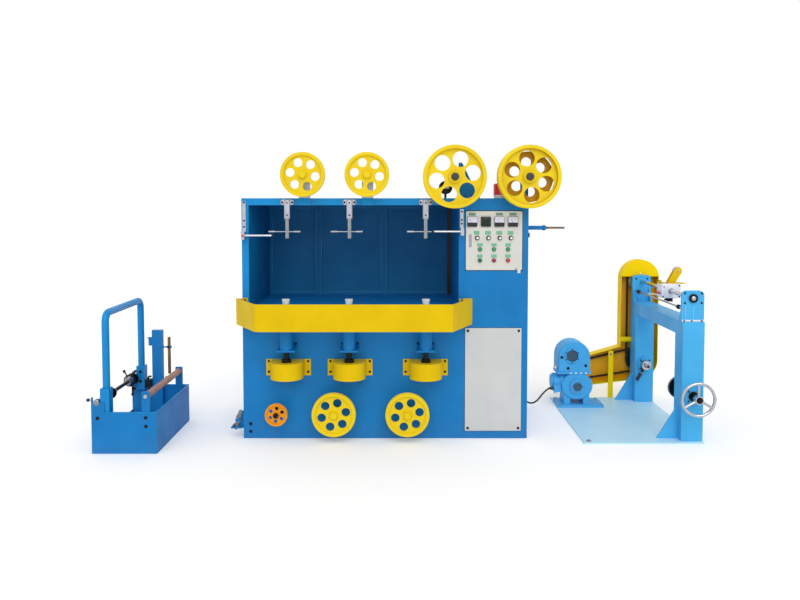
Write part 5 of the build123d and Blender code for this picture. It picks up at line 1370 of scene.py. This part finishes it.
@dataclass
class WheelFittings:
    """The hub caps, bracket aprons, support feet and counter round the cable wheels."""

    guide_hubs: tuple[tuple[float, float], ...] = (
        (-0.36605, 0.205),
        (0.16007, 0.205),
        (-0.57695, 1.916),
        (-0.12502, 1.916),
    )
    capstan_hubs: tuple[tuple[float, float], ...] = ((0.491, 1.9), (1.013, 1.9))
    hub_faces: tuple[float, float] = (-0.5817, -0.6087)
    roof: float = 1.7501
    foot: float = 1.7585
    counter: Point = (0.435, -0.454, 1.8268)

    def caps(self) -> None:
        """Model the wheel-coloured caps and the capstans' black ones."""
        near, far = self.hub_faces
        steps = [(0.0245, 0.0), (0.0245, 0.0125), (0.0228, 0.0155)]
        steps += [(0.0158, 0.0155), (0.0142, 0.0142), (0.003, 0.0142)]
        places = [(x, near, z) for x, z in self.guide_hubs]
        row(turned("hub_caps", places[0], Way.FRONT, steps), shifts(places), WHEEL_ENAMEL)
        steps = [(0.0275, 0.0), (0.0275, 0.011), (0.0245, 0.0162)]
        steps += [(0.012, 0.0168), (0.011, 0.0152), (0.003, 0.0152)]
        places = [(x, far, z) for x, z in self.capstan_hubs]
        row(turned("capstan_caps", places[0], Way.FRONT, steps), shifts(places), DARK_STEEL_GREASE_AND_SHADE)

    def brackets(self) -> None:
        """Model the top brackets' painted aprons, and the capstan supports' feet and bolts."""
        aprons = [
            slab("apron", (x - 0.0418, -0.4662, 1.6985), (x + 0.0418, -0.4641, 1.7512))
            for x, _ in self.guide_hubs[2:]
        ]
        dressed(joined("top_bracket_aprons", aprons), PALE_ENAMEL)
        feet = [
            slab("foot", (left, -0.448, self.roof), (right, -0.4201, self.foot), 0.0015)
            for left, right in ((0.533, 0.681), (0.955, 1.031))
        ]
        dressed(joined("capstan_support_feet", feet), HOUSING_ENAMEL)
        places = [(x, -0.434, self.foot) for x in (0.556, 0.607, 0.658, 0.972, 1.014)]
        Fasteners("support_foot_bolts", places, Way.UP, radius=0.007, finish=TURNED).build()

    def counter_face(self) -> None:
        """Model the counter's rim, its window and the edges of its number wheels."""
        x, y, z = self.counter
        section = [(0.0405, -0.001), (0.0476, -0.001), (0.0476, 0.003), (0.0455, 0.005), (0.0405, 0.003)]
        dressed(ring("counter_rim", self.counter, Way.FRONT, section), BLACK_OXIDE)
        low, high = (x - 0.024, y - 0.0015, z - 0.008), (x + 0.024, y + 0.0005, z + 0.008)
        dressed(slab("counter_window", low, high, 0.0006), SCALE_CARD)
        low, high = (x - 0.0165, y - 0.002, z - 0.007), (x - 0.0153, y - 0.001, z + 0.007)
        moves = [(0.0095 * step, 0.0, 0.0) for step in range(1, 4)]
        row(slab("counter_wheel_edges", low, high, 0.0003), moves, BLACK_ABS)

    def build(self) -> None:
        """Build the wheels' fittings."""
        self.caps()
        self.brackets()
        self.counter_face()


@dataclass
class TwoWebCapstan:
    """The second capstan: a recessed front web with six windows, and a slotted back web.

    Windows, back windows and slots each give a pitch circle's radius and the radius, or
    half the width, of what is cut on it.
    """

    middle: Point = (1.013, -0.608, 1.9)
    width: float = 0.096
    radius: float = 0.222
    inner: float = 0.196
    hub: float = 0.042
    bore: float = 0.0141
    flare: float = 0.006
    groove: float = 0.015
    ease: float = 0.003
    recess: float = 0.03
    web: float = 0.012
    windows: tuple[float, float] = (0.129, 0.055)
    back_windows: tuple[float, float] = (0.104, 0.036)
    slots: tuple[float, float] = (0.185, 0.0055)
    slot_arc: float = 26.0
    turn: float = 38.0
    count: int = 6
    sides: int = 96
    body: str = "capstan_wheel_2"

    def wheel(self) -> None:
        """Model the rim with its groove, the front web with its windows, and the hub."""
        width, radius, inner, hub = self.width, self.radius, self.inner, self.hub
        near, far, wide = self.recess, self.recess + self.web, self.hub + self.flare
        lip, floor, ease, nick = width / 5, radius - self.groove, self.ease, self.ease * 0.3
        section = [(self.bore, 0.0), (hub, 0.0), (wide, near), (inner, near)]
        section += [(inner, ease), (inner + nick, nick), (inner + ease, 0.0)]
        section += [(radius - ease, 0.0), (radius - nick, nick), (radius, ease), (radius, lip)]
        section += [(floor, (width - lip) / 2), (floor, (width + lip) / 2), (radius, width - lip)]
        section += [(radius, width - ease), (radius - nick, width - nick), (radius - ease, width)]
        section += [(inner, width), (inner, far), (wide, far), (hub, width), (self.bore, width)]
        piece = ring("capstan_slotted_wheel", self.middle, Way.BACK, section, self.sides)
        piece = self.windowed(piece, self.windows, near, 0.005)
        dressed(piece, WHEEL_ENAMEL, self.body, ("capstan_wheel_2",))

    def windowed(
        self, piece: bpy.types.Object, windows: tuple[float, float], depth: float, spare: float
    ) -> bpy.types.Object:
        """Bore a circle of windows through a web.

        Args:
            piece: the piece that has the web.
            windows: the windows' pitch radius and their own, in metres.
            depth: how far behind the wheel's front the web starts.
            spare: how far the cut goes past the web on each side.

        Returns:
            The piece.
        """
        pitch, size = windows
        for x, y, z in around(self.middle, pitch, self.count, self.turn):
            start = (x, y + depth - spare, z)
            piece = bored(piece, start, Way.BACK, size, self.web + 2 * spare)
        return piece

    def slot(self, middle: float) -> bpy.types.Object:
        """Model the tool that cuts one crescent slot.

        Args:
            middle: the angle of the slot's middle, in degrees.

        Returns:
            The tool.
        """
        x, y, z = self.middle
        pitch, half = self.slots
        first, last = (math.radians(middle + side * self.slot_arc / 2) for side in (-1, 1))
        steps = 12
        outline = []
        for radius, start, end in ((pitch + half, first, last), (pitch - half, last, first)):
            for i in range(steps + 1):
                angle = start + (end - start) * i / steps
                outline.append((x + radius * math.cos(angle), z + radius * math.sin(angle)))
        back = y + self.width
        return outlined("cutter", outline, back - self.web - 0.004, back + 0.004, 0.0001)

    def inside(self) -> None:
        """Model the back web with its small windows and slots, and a thin ring on the recess wall, both in
        brown painted shade.
        """
        start, end = self.width - self.web, self.width - 0.0002
        low, high = self.hub - 0.0005, self.inner + 0.0005
        section = [(low, start), (high, start), (high, end), (low, end)]
        web = ring("back_web", self.middle, Way.BACK, section, self.sides)
        web = self.windowed(web, self.back_windows, start, 0.004)
        for number in range(self.count):
            web = cut(web, self.slot(self.turn + 360 * number / self.count))
        # A thin ring over the recess's wall that carries only painted shade.
        low, high = self.inner - 0.0006, self.inner + 0.0003
        start, end = 0.0035, self.recess + 0.0003
        section = [(low, start), (high, start), (high, end), (low, end)]
        wall_shade = ring("recess_wall_shade_sheet", self.middle, Way.BACK, section, self.sides)
        dressed(joined("capstan_inside_painted_shade", [web, wall_shade]), BROWN_WHEEL_PAINTED_SHADE, self.body)

    def build(self) -> None:
        """Build the wheel and its inside."""
        self.wheel()
        self.inside()


@dataclass
class PayoffFittings:
    """The edges, bolts, chuck parts and rods of the pay-off stand."""

    left: float = -2.003
    right: float = -1.557
    front: float = -0.792
    back: float = 0.006
    top: float = 0.288
    arch: float = -1.912
    axis: Point = (-1.967, -0.156, 0.354)
    roller: Point = (-1.631, -0.792, 0.396)
    knob_lean: float = 36.0
    knob_reach: float = 0.062

    def edges(self) -> None:
        """Model the folded edges along the trough's top, in paler enamel as painted highlight."""
        low, high, lip, sheet = self.top - 0.004, self.top + 0.0015, 0.0015, 0.0075
        outer, inner = self.right + lip, self.right - 0.0085
        strips = [
            slab("front_edge", (self.arch, self.front - lip, low), (outer, self.front + sheet, high)),
            slab("right_edge", (self.right - sheet, self.front + 0.0085, low), (outer, self.back, high)),
            slab("back_edge", (-1.74, self.back - sheet, low), (inner, self.back + lip, high)),
        ]
        dressed(joined("trough_edge_highlights", strips), PALE_ENAMEL)

    def bolts(self) -> None:
        """Model the bolts of the trough, the clamps, the back plate and the roller plates."""
        x, y, z = self.roller
        places = [(-1.961, self.front, 0.246), (-1.986, 0.0, 0.255), (-1.862, -0.012, 0.255)]
        places += [(self.arch, depth, height) for depth in (-0.778, -0.072) for height in (0.405, 0.33)]
        places += [(-1.768, -0.012, 0.2), (x, self.front, 0.25), (x, self.front, 0.19)]
        Fasteners("payoff_bolts", places).build()
        Fasteners("roller_end_bolt", [(x, y - 0.0002, z)], radius=0.009, finish=CHROME).build()

    def chuck(self) -> None:
        """Model the chuck's cones, its handle knobs and the front bearing's cap."""
        x, y, z = self.axis
        body = "payoff_reel_shaft"
        steps = [(0.0404, 0.0), (0.0404, 0.0015), (0.0255, 0.0464), (0.0136, 0.0468)]
        cones = [
            turned("chuck_cone", (x, y, z), Way.FRONT, steps, 36),
            turned("front_cone", (x, -0.526, z), Way.BACK, steps, 36),
        ]
        dressed(joined("reel_cones", cones), TURNED, body)
        out, up = self.knob_reach * math.sin(math.radians(self.knob_lean)), self.knob_reach
        knobs = []
        for reach in (-out, out):
            way = tuple(Vector((reach, 0.0, up)).normalized())
            knobs.append(ball("knob", (x + reach, y + 0.007, z + up), way, 0.012))
        knobs.append(ball("lever_knob", (x, -0.093, 0.244), Way.DOWN, 0.012))
        dressed(joined("chuck_knobs", knobs), BLACK_ABS, body)
        steps = [(0.0215, 0.0), (0.0215, 0.002), (0.0185, 0.004), (0.008, 0.004)]
        place = (x, self.front - 0.0001, z)
        dressed(turned("payoff_bearing_cap", place, Way.FRONT, steps), TURNED, body)
        start = (self.left, self.front + 0.02, z + 0.012)
        end = (self.left - 0.024, self.front + 0.02, z + 0.014)
        dressed(rod("bearing_clamp_stem", start, end, 0.004), TURNED)
        place = (self.left - 0.016, self.front + 0.02, z + 0.0135)
        dressed(ball("bearing_clamp_knob", place, Way.LEFT, 0.0125), BLACK_ABS)

    def rods(self) -> None:
        """Model the bronze guide rod, its clamp screw and the orange lubricator."""
        guide = rod("bronze_guide_rod", (-1.7, -0.02, 0.38), (-1.7, -0.02, 0.669), 0.0115, 24)
        dressed(guide, BRONZE)
        places = [(-1.7, -0.032, 0.59)]
        Fasteners("guide_rod_clamp_screw", places, Way.FRONT, Head.SOCKET, 0.006).build()
        steps = [(0.0055, 0.0), (0.0055, 0.028), (0.009, 0.03), (0.009, 0.044)]
        stem = turned("lubricator_stem", (-1.731, 0.002, self.top), Way.UP, steps, 20)
        dressed(stem, BLACK_OXIDE)
        steps = [(0.0105, 0.0), (0.0115, 0.006), (0.0105, 0.018), (0.006, 0.023), (0.002, 0.0238)]
        cup = turned("lubricator_cup", (-1.731, 0.002, self.top + 0.044), Way.UP, steps, 20)
        dressed(cup, ORANGE_ENAMEL)

    def build(self) -> None:
        """Build the pay-off stand's fittings."""
        self.edges()
        self.bolts()
        self.chuck()
        self.rods()


@dataclass
class Traverse:
    """The carriage in its own finishes, and the fittings of the shaft and its plates."""

    column: float = 2.1955
    shaft: float = 1.038
    middle: float = -0.04
    size: Point = (0.15, 0.112, 0.112)
    sheet: float = 0.008
    lip: float = 0.026
    lean: float = 61.0
    reach: float = 0.102
    cheek: float = 0.028
    wire: float = 0.0016
    plate: float = -0.5375
    body: str = "traverse_carriage"

    def block(self) -> None:
        """Model the bored block, its bush and plug, its screws and the two black cams."""
        x, y, z = self.column, self.middle, self.shaft
        wide, deep, tall = (side / 2 for side in self.size)
        low, high = (x - wide, y - deep, z - tall), (x + wide, y + deep, z + tall)
        block = slab("carriage_block", low, high, 0.006)
        piece = bored(block, (x, low[1] - 0.01, z), Way.BACK, 0.0151, 0.14)
        dressed(piece, PEARL_ALUMINIUM, self.body, ("traverse_carriage",))
        section = [(0.0152, 0.0), (0.0215, 0.0), (0.0215, 0.003), (0.02, 0.0045), (0.0152, 0.0045)]
        bush = ring("carriage_bush", (x, low[1] - 0.0001, z), Way.FRONT, section)
        dressed(bush, TURNED, self.body)
        steps = [(0.007, 0.0), (0.007, 0.001), (0.006, 0.0016)]
        plug = turned("carriage_plug", (2.14, low[1] - 0.0001, 1.072), Way.FRONT, steps, 20)
        dressed(plug, FIBRE, self.body)
        steps = [(0.0225, 0.0), (0.024, 0.0015), (0.024, 0.008), (0.019, 0.011)]
        steps += [(0.019, 0.015), (0.024, 0.018), (0.024, 0.0245), (0.0225, 0.026)]
        cam = turned("carriage_cams", (x, y - 0.028, low[2] - 0.0001), Way.DOWN, steps, 36)
        row(cam, [(0.0, 0.056, 0.0)], BLACK_OXIDE, self.body)
        places = [(2.133, low[1], 0.995), (2.258, low[1], 0.995), (2.258, low[1], 1.081)]
        kind = (Way.FRONT, Head.SOCKET, 0.005, 1.2, BLACK_OXIDE, self.body)
        Fasteners("carriage_screws", places, *kind).build()

    def arm(self) -> None:
        """Model the yellow plate with its lip, cheeks and bolts, and the wheel on its pin."""
        left, top = self.column - self.size[0] / 2, self.shaft + self.size[2] / 2
        near, far = self.middle - 0.035, self.middle + 0.035
        under, over = top - self.sheet / 2, top + self.sheet / 2
        pieces = [
            slab("arm_plate", (left, near, under), (left + 0.19, far, over)),
            slab("arm_lip", (left, near, over), (left + self.sheet, far, top + self.lip)),
        ]
        lean = math.radians(self.lean)
        foot = (self.column + self.lip / 2, over)
        tip = (foot[0] + self.reach * math.cos(lean), foot[1] + self.reach * math.sin(lean))
        outline = hull((*foot, self.cheek), (*tip, self.cheek))
        flat = [(x, max(z, under + 0.0005)) for x, z in outline]
        for start in (self.middle - 0.023, self.middle + 0.015):
            pieces.append(outlined("cheek", flat, start, start + self.sheet))
        dressed(joined("carriage_arm", pieces), GUARD_ENAMEL, self.body)
        places = [(left + shift, self.middle - 0.024, over) for shift in (0.018, 0.05)]
        Fasteners("arm_plate_bolts", places, Way.UP, Head.HEX, 0.007, 1.5, TURNED, self.body).build()
        steps = [(0.031, 0.0), (0.036, 0.002), (0.036, 0.0045), (0.0285, 0.011)]
        steps += [(0.036, 0.0175), (0.036, 0.02), (0.031, 0.022)]
        place = (tip[0], self.middle + 0.011, tip[1])
        dressed(turned("cable_guide_wheel", place, Way.FRONT, steps, 40), CLEAR_WHEEL, self.body)
        start, end = ((tip[0], self.middle + side * 0.0285, tip[1]) for side in (-1, 1))
        dressed(rod("guide_wheel_pin", start, end, 0.0078), CHROME, self.body)

    def knob(self) -> None:
        """Model the release knob at the carriage's left, and its wire loop."""
        x, y, z = self.column - self.size[0] / 2, self.middle - 0.032, 1.024
        steps = [(0.011, 0.0), (0.011, 0.008), (0.009, 0.01)]
        dressed(turned("release_collar", (x, y, z), Way.LEFT, steps, 24), TURNED, self.body)
        dressed(ball("release_knob", (x - 0.009, y, z), Way.LEFT, 0.0115), BUTTON_RED, self.body)
        near, far, y = x - 0.006, x - 0.098, y - 0.004
        wires = [
            rod("upper_wire", (near, y, z - 0.012), (far, y, z - 0.003), self.wire, 8),
            rod("lower_wire", (near, y, z - 0.018), (far, y, z - 0.012), self.wire, 8),
            rod("end_wire", (far, y, z - 0.0125), (far, y, z - 0.0025), self.wire, 8),
            rod("wire_anchor", (x, y, z - 0.015), (x - 0.008, y, z - 0.015), 0.0055, 16),
        ]
        dressed(joined("release_wire", wires), CHROME, self.body)

    def shaft_ends(self) -> None:
        """Model the ring nut, the shaft's bright end and the pulley's face."""
        x, z, body = self.column, self.shaft, "traverse_shaft"
        section = [(0.0153, 0.0), (0.0312, 0.0), (0.0318, 0.002)]
        section += [(0.0318, 0.0105), (0.0295, 0.0128), (0.0153, 0.0128)]
        dressed(ring("shaft_ring_nut", (x, -0.5326, z), Way.FRONT, section), BLACK_OXIDE, body)
        steps = [(0.0149, 0.0), (0.0149, 0.002), (0.0125, 0.0036)]
        dressed(turned("shaft_bright_end", (x, -0.5446, z), Way.FRONT, steps), CHROME, body)
        section = [(0.0152, 0.0), (0.0945, 0.0), (0.0945, 0.0012), (0.0152, 0.0012)]
        face = ring("traverse_pulley_face", (x, 0.6799, z), Way.FRONT, section, 48)
        dressed(face, DULL_BRASS, body)

    def plates(self) -> None:
        """Model the bearing plates' foot strip, ribs, bolts and the stop rod's collars."""
        foot = slab("plate_foot_strip", (2.1165, self.plate, 0.8703), (2.2745, -0.5321, 0.884), 0.0012)
        dressed(foot, WHITE_ENAMEL)
        places = [(x, self.plate, 0.8775) for x in (2.132, 2.186, 2.258)]
        Fasteners("plate_foot_bolts", places, radius=0.005, washer=1.2).build()
        # The ribs are paler than the plate: painted highlight.
        rib = slab("plate_ribs", (2.139, -0.5355, 0.884), (2.144, -0.5321, 0.985), 0.001)
        row(rib, [(0.058, 0.0, 0.0)], SKY_RIB_PAINTED_HIGHLIGHT)
        holes = [(x, -0.532, z) for z in (1.074, 1.004) for x in (2.137, 2.2565)]
        holes += [(2.148, 0.614, 1.062), (2.243, 0.614, 1.062)]
        Fasteners("bearing_plate_bolts", holes, Way.FRONT, Head.SOCKET, 0.006, 1.2).build()
        section = [(0.0073, 0.0), (0.0155, 0.0), (0.0169, 0.0014)]
        section += [(0.0169, 0.0236), (0.0155, 0.025), (0.0073, 0.025)]
        first = (self.column - 0.056, -0.4185, 0.96)
        sleeve = ring("stop_collar_sleeves", first, Way.BACK, section, 32)
        apart = 0.918
        row(sleeve, [(0.0, apart, 0.0)], BLACK_OXIDE)

    def build(self) -> None:
        """Build the traverse's fittings."""
        self.block()
        self.arm()
        self.knob()
        self.shaft_ends()
        self.plates()


@dataclass
class ReelCentres:
    """The bright and black parts of the take-up reel's two centres, and the handwheel's nut."""

    column: float = 2.1955
    axis: float = 0.34
    seat: float = 0.4934
    crank: float = 240.0

    def drive(self) -> None:
        """Model the drive's chrome hub and cone, its black tip and the crank's sleeve."""
        x, y, z = self.column, self.seat, self.axis
        body = "reel_drive_centre"
        steps = [(0.0385, 0.0), (0.0406, 0.0015), (0.0406, 0.0445), (0.0385, 0.0466)]
        steps += [(0.0228, 0.0466), (0.0095, 0.0885), (0.006, 0.0892)]
        dressed(turned("drive_hub_shell", (x, y, z), Way.FRONT, steps, 40), CHROME, body)
        steps = [(0.0095, 0.0), (0.0115, 0.0012), (0.0115, 0.0075), (0.009, 0.0095)]
        dressed(turned("drive_tip", (x, y - 0.0875, z), Way.FRONT, steps, 28), BLACK_ABS, body)
        out, up = math.cos(math.radians(self.crank)), math.sin(math.radians(self.crank))
        at = [(x + out * far, y - 0.023, z + up * far) for far in (0.074, 0.081, 0.084, 0.1508)]
        dressed(rod("crank_ferrule", at[0], at[1], 0.0125), CHROME, body)
        dressed(rod("crank_sleeve", at[2], at[3], 0.0146, 28), BLUE_BLACK, body)

    def tailstock(self) -> None:
        """Model the reel flange's bright rim, the lock ring and the handwheel's hub nut."""
        x, z = self.column, self.axis
        section = [(0.0775, 0.0), (0.0845, 0.0), (0.0857, 0.0012)]
        section += [(0.0857, 0.0142), (0.0845, 0.0154), (0.0775, 0.0154)]
        rim = ring("reel_flange_rim", (x, -0.3064, z), Way.BACK, section, 48)
        dressed(rim, TURNED, "tailstock_spindle")
        section = [(0.0224, 0.0), (0.036, 0.0), (0.036, 0.0055), (0.0345, 0.007), (0.0224, 0.007)]
        dressed(ring("tailstock_lock_ring", (x, -0.5741, z), Way.FRONT, section), BLACK_OXIDE)
        kind = (Way.FRONT, Head.HEX, 0.017, 1.35, BLACK_OXIDE, "handwheel")
        Fasteners("handwheel_hub_nut", [(x, -0.6881, z)], *kind).build()

    def flanges(self) -> None:
        """Model the bolts round the two bearing flanges."""
        places = around((self.column, -0.574, self.axis), 0.05, 4, 45)
        places += around((self.column, 0.494, self.axis), 0.0515, 4, 45)
        Fasteners("bearing_flange_bolts", places, Way.FRONT, Head.SOCKET, 0.0055, 1.15).build()

    def build(self) -> None:
        """Build the reel centres' fittings."""
        self.drive()
        self.tailstock()
        self.flanges()


@dataclass
class BeltGuardShadeAndPost:
    """Sheets of amber painted shade inside the belt guard, its post's rounded facing and its cover's pin.
    """

    top: tuple[float, float] = (2.1955, 1.058)
    reel: tuple[float, float] = (2.1955, 0.34)
    motor: tuple[float, float] = (1.625, 0.222)
    post: float = 1.9495
    post_face: float = 0.6535
    post_back: float = 0.6569

    def build(self) -> None:
        """Model the sheets of painted shade inside the guard, the post's facing with its bolt, and the pin.
        """
        upper = hull((*self.top, 0.159), (*self.reel, 0.159))
        lower = hull((*self.reel, 0.1585), (*self.motor, 0.1125))
        plates = [
            outlined("upper_shade_sheet", upper, 0.7546, 0.7569, 0.0004),
            outlined("lower_shade_sheet", lower, 0.7552, 0.7568, 0.0004),
        ]
        dressed(joined("guard_inside_painted_shade", plates), AMBER_GUARD_PAINTED_SHADE)
        outline = hull((self.post, 0.0335, 0.0213), (self.post, 0.4035, 0.0213))
        dressed(outlined("post_facing", outline, self.post_face, self.post_back), BELT_GUARD_ENAMEL)
        places = [(self.post, self.post_face, 0.395)]
        Fasteners("post_bolt", places, radius=0.007, finish=TURNED).build()
        steps = [(0.007, 0.0), (0.007, 0.004), (0.005, 0.0065)]
        pin = turned("cover_pin", (self.top[0], self.post_back, 1.102), Way.FRONT, steps, 20)
        dressed(pin, WHITE_NYLON)


@dataclass
class GearMotor:
    """The bolts, covers, breather and connector of the gear case and its motor."""

    bore: tuple[float, float] = (1.541, 0.443)
    boss: tuple[float, float] = (1.586, 0.188)
    front: float = 0.35

    def case(self) -> None:
        """Model the bore's cover, its ring's bolts, the flange's bolts and the boss's cap."""
        x, z = self.bore
        steps = [(0.0494, 0.0), (0.0494, 0.004), (0.047, 0.006)]
        steps += [(0.02, 0.006), (0.018, 0.009), (0.004, 0.009)]
        cover = turned("bore_cover", (x, 0.3619, z), Way.FRONT, steps, 40)
        dressed(cover, SLATE_ENAMEL)
        places = around((x, 0.341, z), 0.0568, 6, 30)
        Fasteners("bore_ring_screws", places, Way.FRONT, Head.SOCKET, 0.0038, 1.2).build()
        places = [(x, self.front, z) for x, z in ((1.509, 0.338), (1.455, 0.43), (1.655, 0.36))]
        Fasteners("case_bolts", places).build()
        places = [(1.53 + 0.042 * step, self.front - 0.006, 0.299) for step in range(4)]
        Fasteners("case_flange_bolts", places, radius=0.0065, washer=1.2, finish=WHITE_NYLON).build()
        x, z = self.boss
        steps = [(0.0352, 0.0), (0.0352, 0.002), (0.033, 0.0035)]
        steps += [(0.013, 0.0035), (0.012, 0.0075), (0.003, 0.0075)]
        cap = turned("boss_cap", (x, self.front - 0.0241, z), Way.FRONT, steps, 36)
        dressed(cap, SLATE_ENAMEL)
        places = around((x, self.front - 0.014, z), 0.049, 6)
        Fasteners("boss_screws", places, radius=0.0055, washer=1.3, finish=TURNED).build()

    def breather(self) -> None:
        """Model the breather's white ball and yellow cap at the case's left."""
        dressed(ball("breather_ball", (1.4262, 0.4, 0.335), Way.LEFT, 0.014), WHITE_NYLON)
        steps = [(0.0065, 0.0), (0.0065, 0.012), (0.005, 0.0155)]
        dressed(turned("breather_cap", (1.41, 0.4, 0.345), Way.UP, steps, 20), GUARD_ENAMEL)

    def feet(self) -> None:
        """Model the foot bolts, the terminal box's screws and its pale connector."""
        places = [(x, y, 0.034) for x in (1.446, 1.786) for y in (0.342, 0.538)]
        Fasteners("foot_bolts", places, Way.UP, Head.HEX, 0.0075, 1.4, TURNED).build()
        places = [(1.397, 0.33, 0.192), (1.436, 0.33, 0.192), (1.436, 0.33, 0.152)]
        Fasteners("terminal_screws", places, Way.FRONT, Head.PAN, 0.0042, 1.1, TURNED).build()
        block = slab("terminal_connector", (1.3915, 0.342, 0.122), (1.424, 0.374, 0.1439), 0.003)
        dressed(block, WHITE_NYLON)

    def build(self) -> None:
        """Build the gearmotor's fittings."""
        self.case()
        self.breather()
        self.feet()


def anchor_bolts() -> None:
    """Bolt the take-up's floor plate down at its open corners."""
    places = [(1.46, y, 0.012) for y in (-0.55, 0.63)]
    Fasteners("floor_anchor_bolts", places, Way.UP, Head.HEX, 0.0115, 1.6, TURNED).build()


FRAME_FINISHES = (
    HOUSING_ENAMEL,
    BAY_BLUE_PAINTED_SHADE,
    GUARD_ENAMEL,
    WHEEL_ENAMEL,
    ORANGE_ENAMEL,
    PANEL_COAT,
    BLACK_ABS,
    CHROME,
    BLACK_OXIDE,
    TURNED,
    WHITE_NYLON,
    STAND_ENAMEL,
    COPPER_SLEEVE,
    BELT_RUBBER,
    SHEATH,
    CASTING,
    RED_LENS,
    BUTTON_GREEN,
)


def finish_frame() -> None:
    """Give every CAD node the finish of its slot, or its own where the photo differs."""
    own = {
        "bay_roof": PALE_ENAMEL,
        "left_side_wall": PALE_ENAMEL,
        "payoff_arch": PALE_ENAMEL,
        "takeup_base": BASE_ENAMEL,
        "access_panel": GREY_COAT,
        "reel_drive_centre": BLACK_OXIDE,
        "belt_guard": BELT_GUARD_ENAMEL,
        "tape_guides": TURNED,
        "top_wheel_brackets": ZINC,
    }
    common = {finish.slot: finish for finish in FRAME_FINISHES}
    slots = {part["node"]: part["material_slot"] for part in frame["record"]["subparts"]}
    for name, node in frame["nodes"].items():
        finish = own.get(name) or common[slots[name]]
        node.data.materials.clear()
        node.data.materials.append(finish.material())
        LOG.info("%s finished in %s", name, finish.name)


def main() -> None:
    """Build the scene."""
    logging.basicConfig(level=logging.INFO, format="%(message)s")
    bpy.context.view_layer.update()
    for assembly in (
        Studio(),
        MotorCable(),
        ControlPanel(),
        HousingTrim(),
        BayPaintedLight(),
        Nozzles(),
        TapeGuides(),
        SideFittings(),
        WheelFittings(),
        TwoWebCapstan(),
        PayoffFittings(),
        Traverse(),
        ReelCentres(),
        BeltGuardShadeAndPost(),
        GearMotor(),
    ):
        assembly.build()
    anchor_bolts()
    finish_frame()


if __name__ == "__main__":
    main()
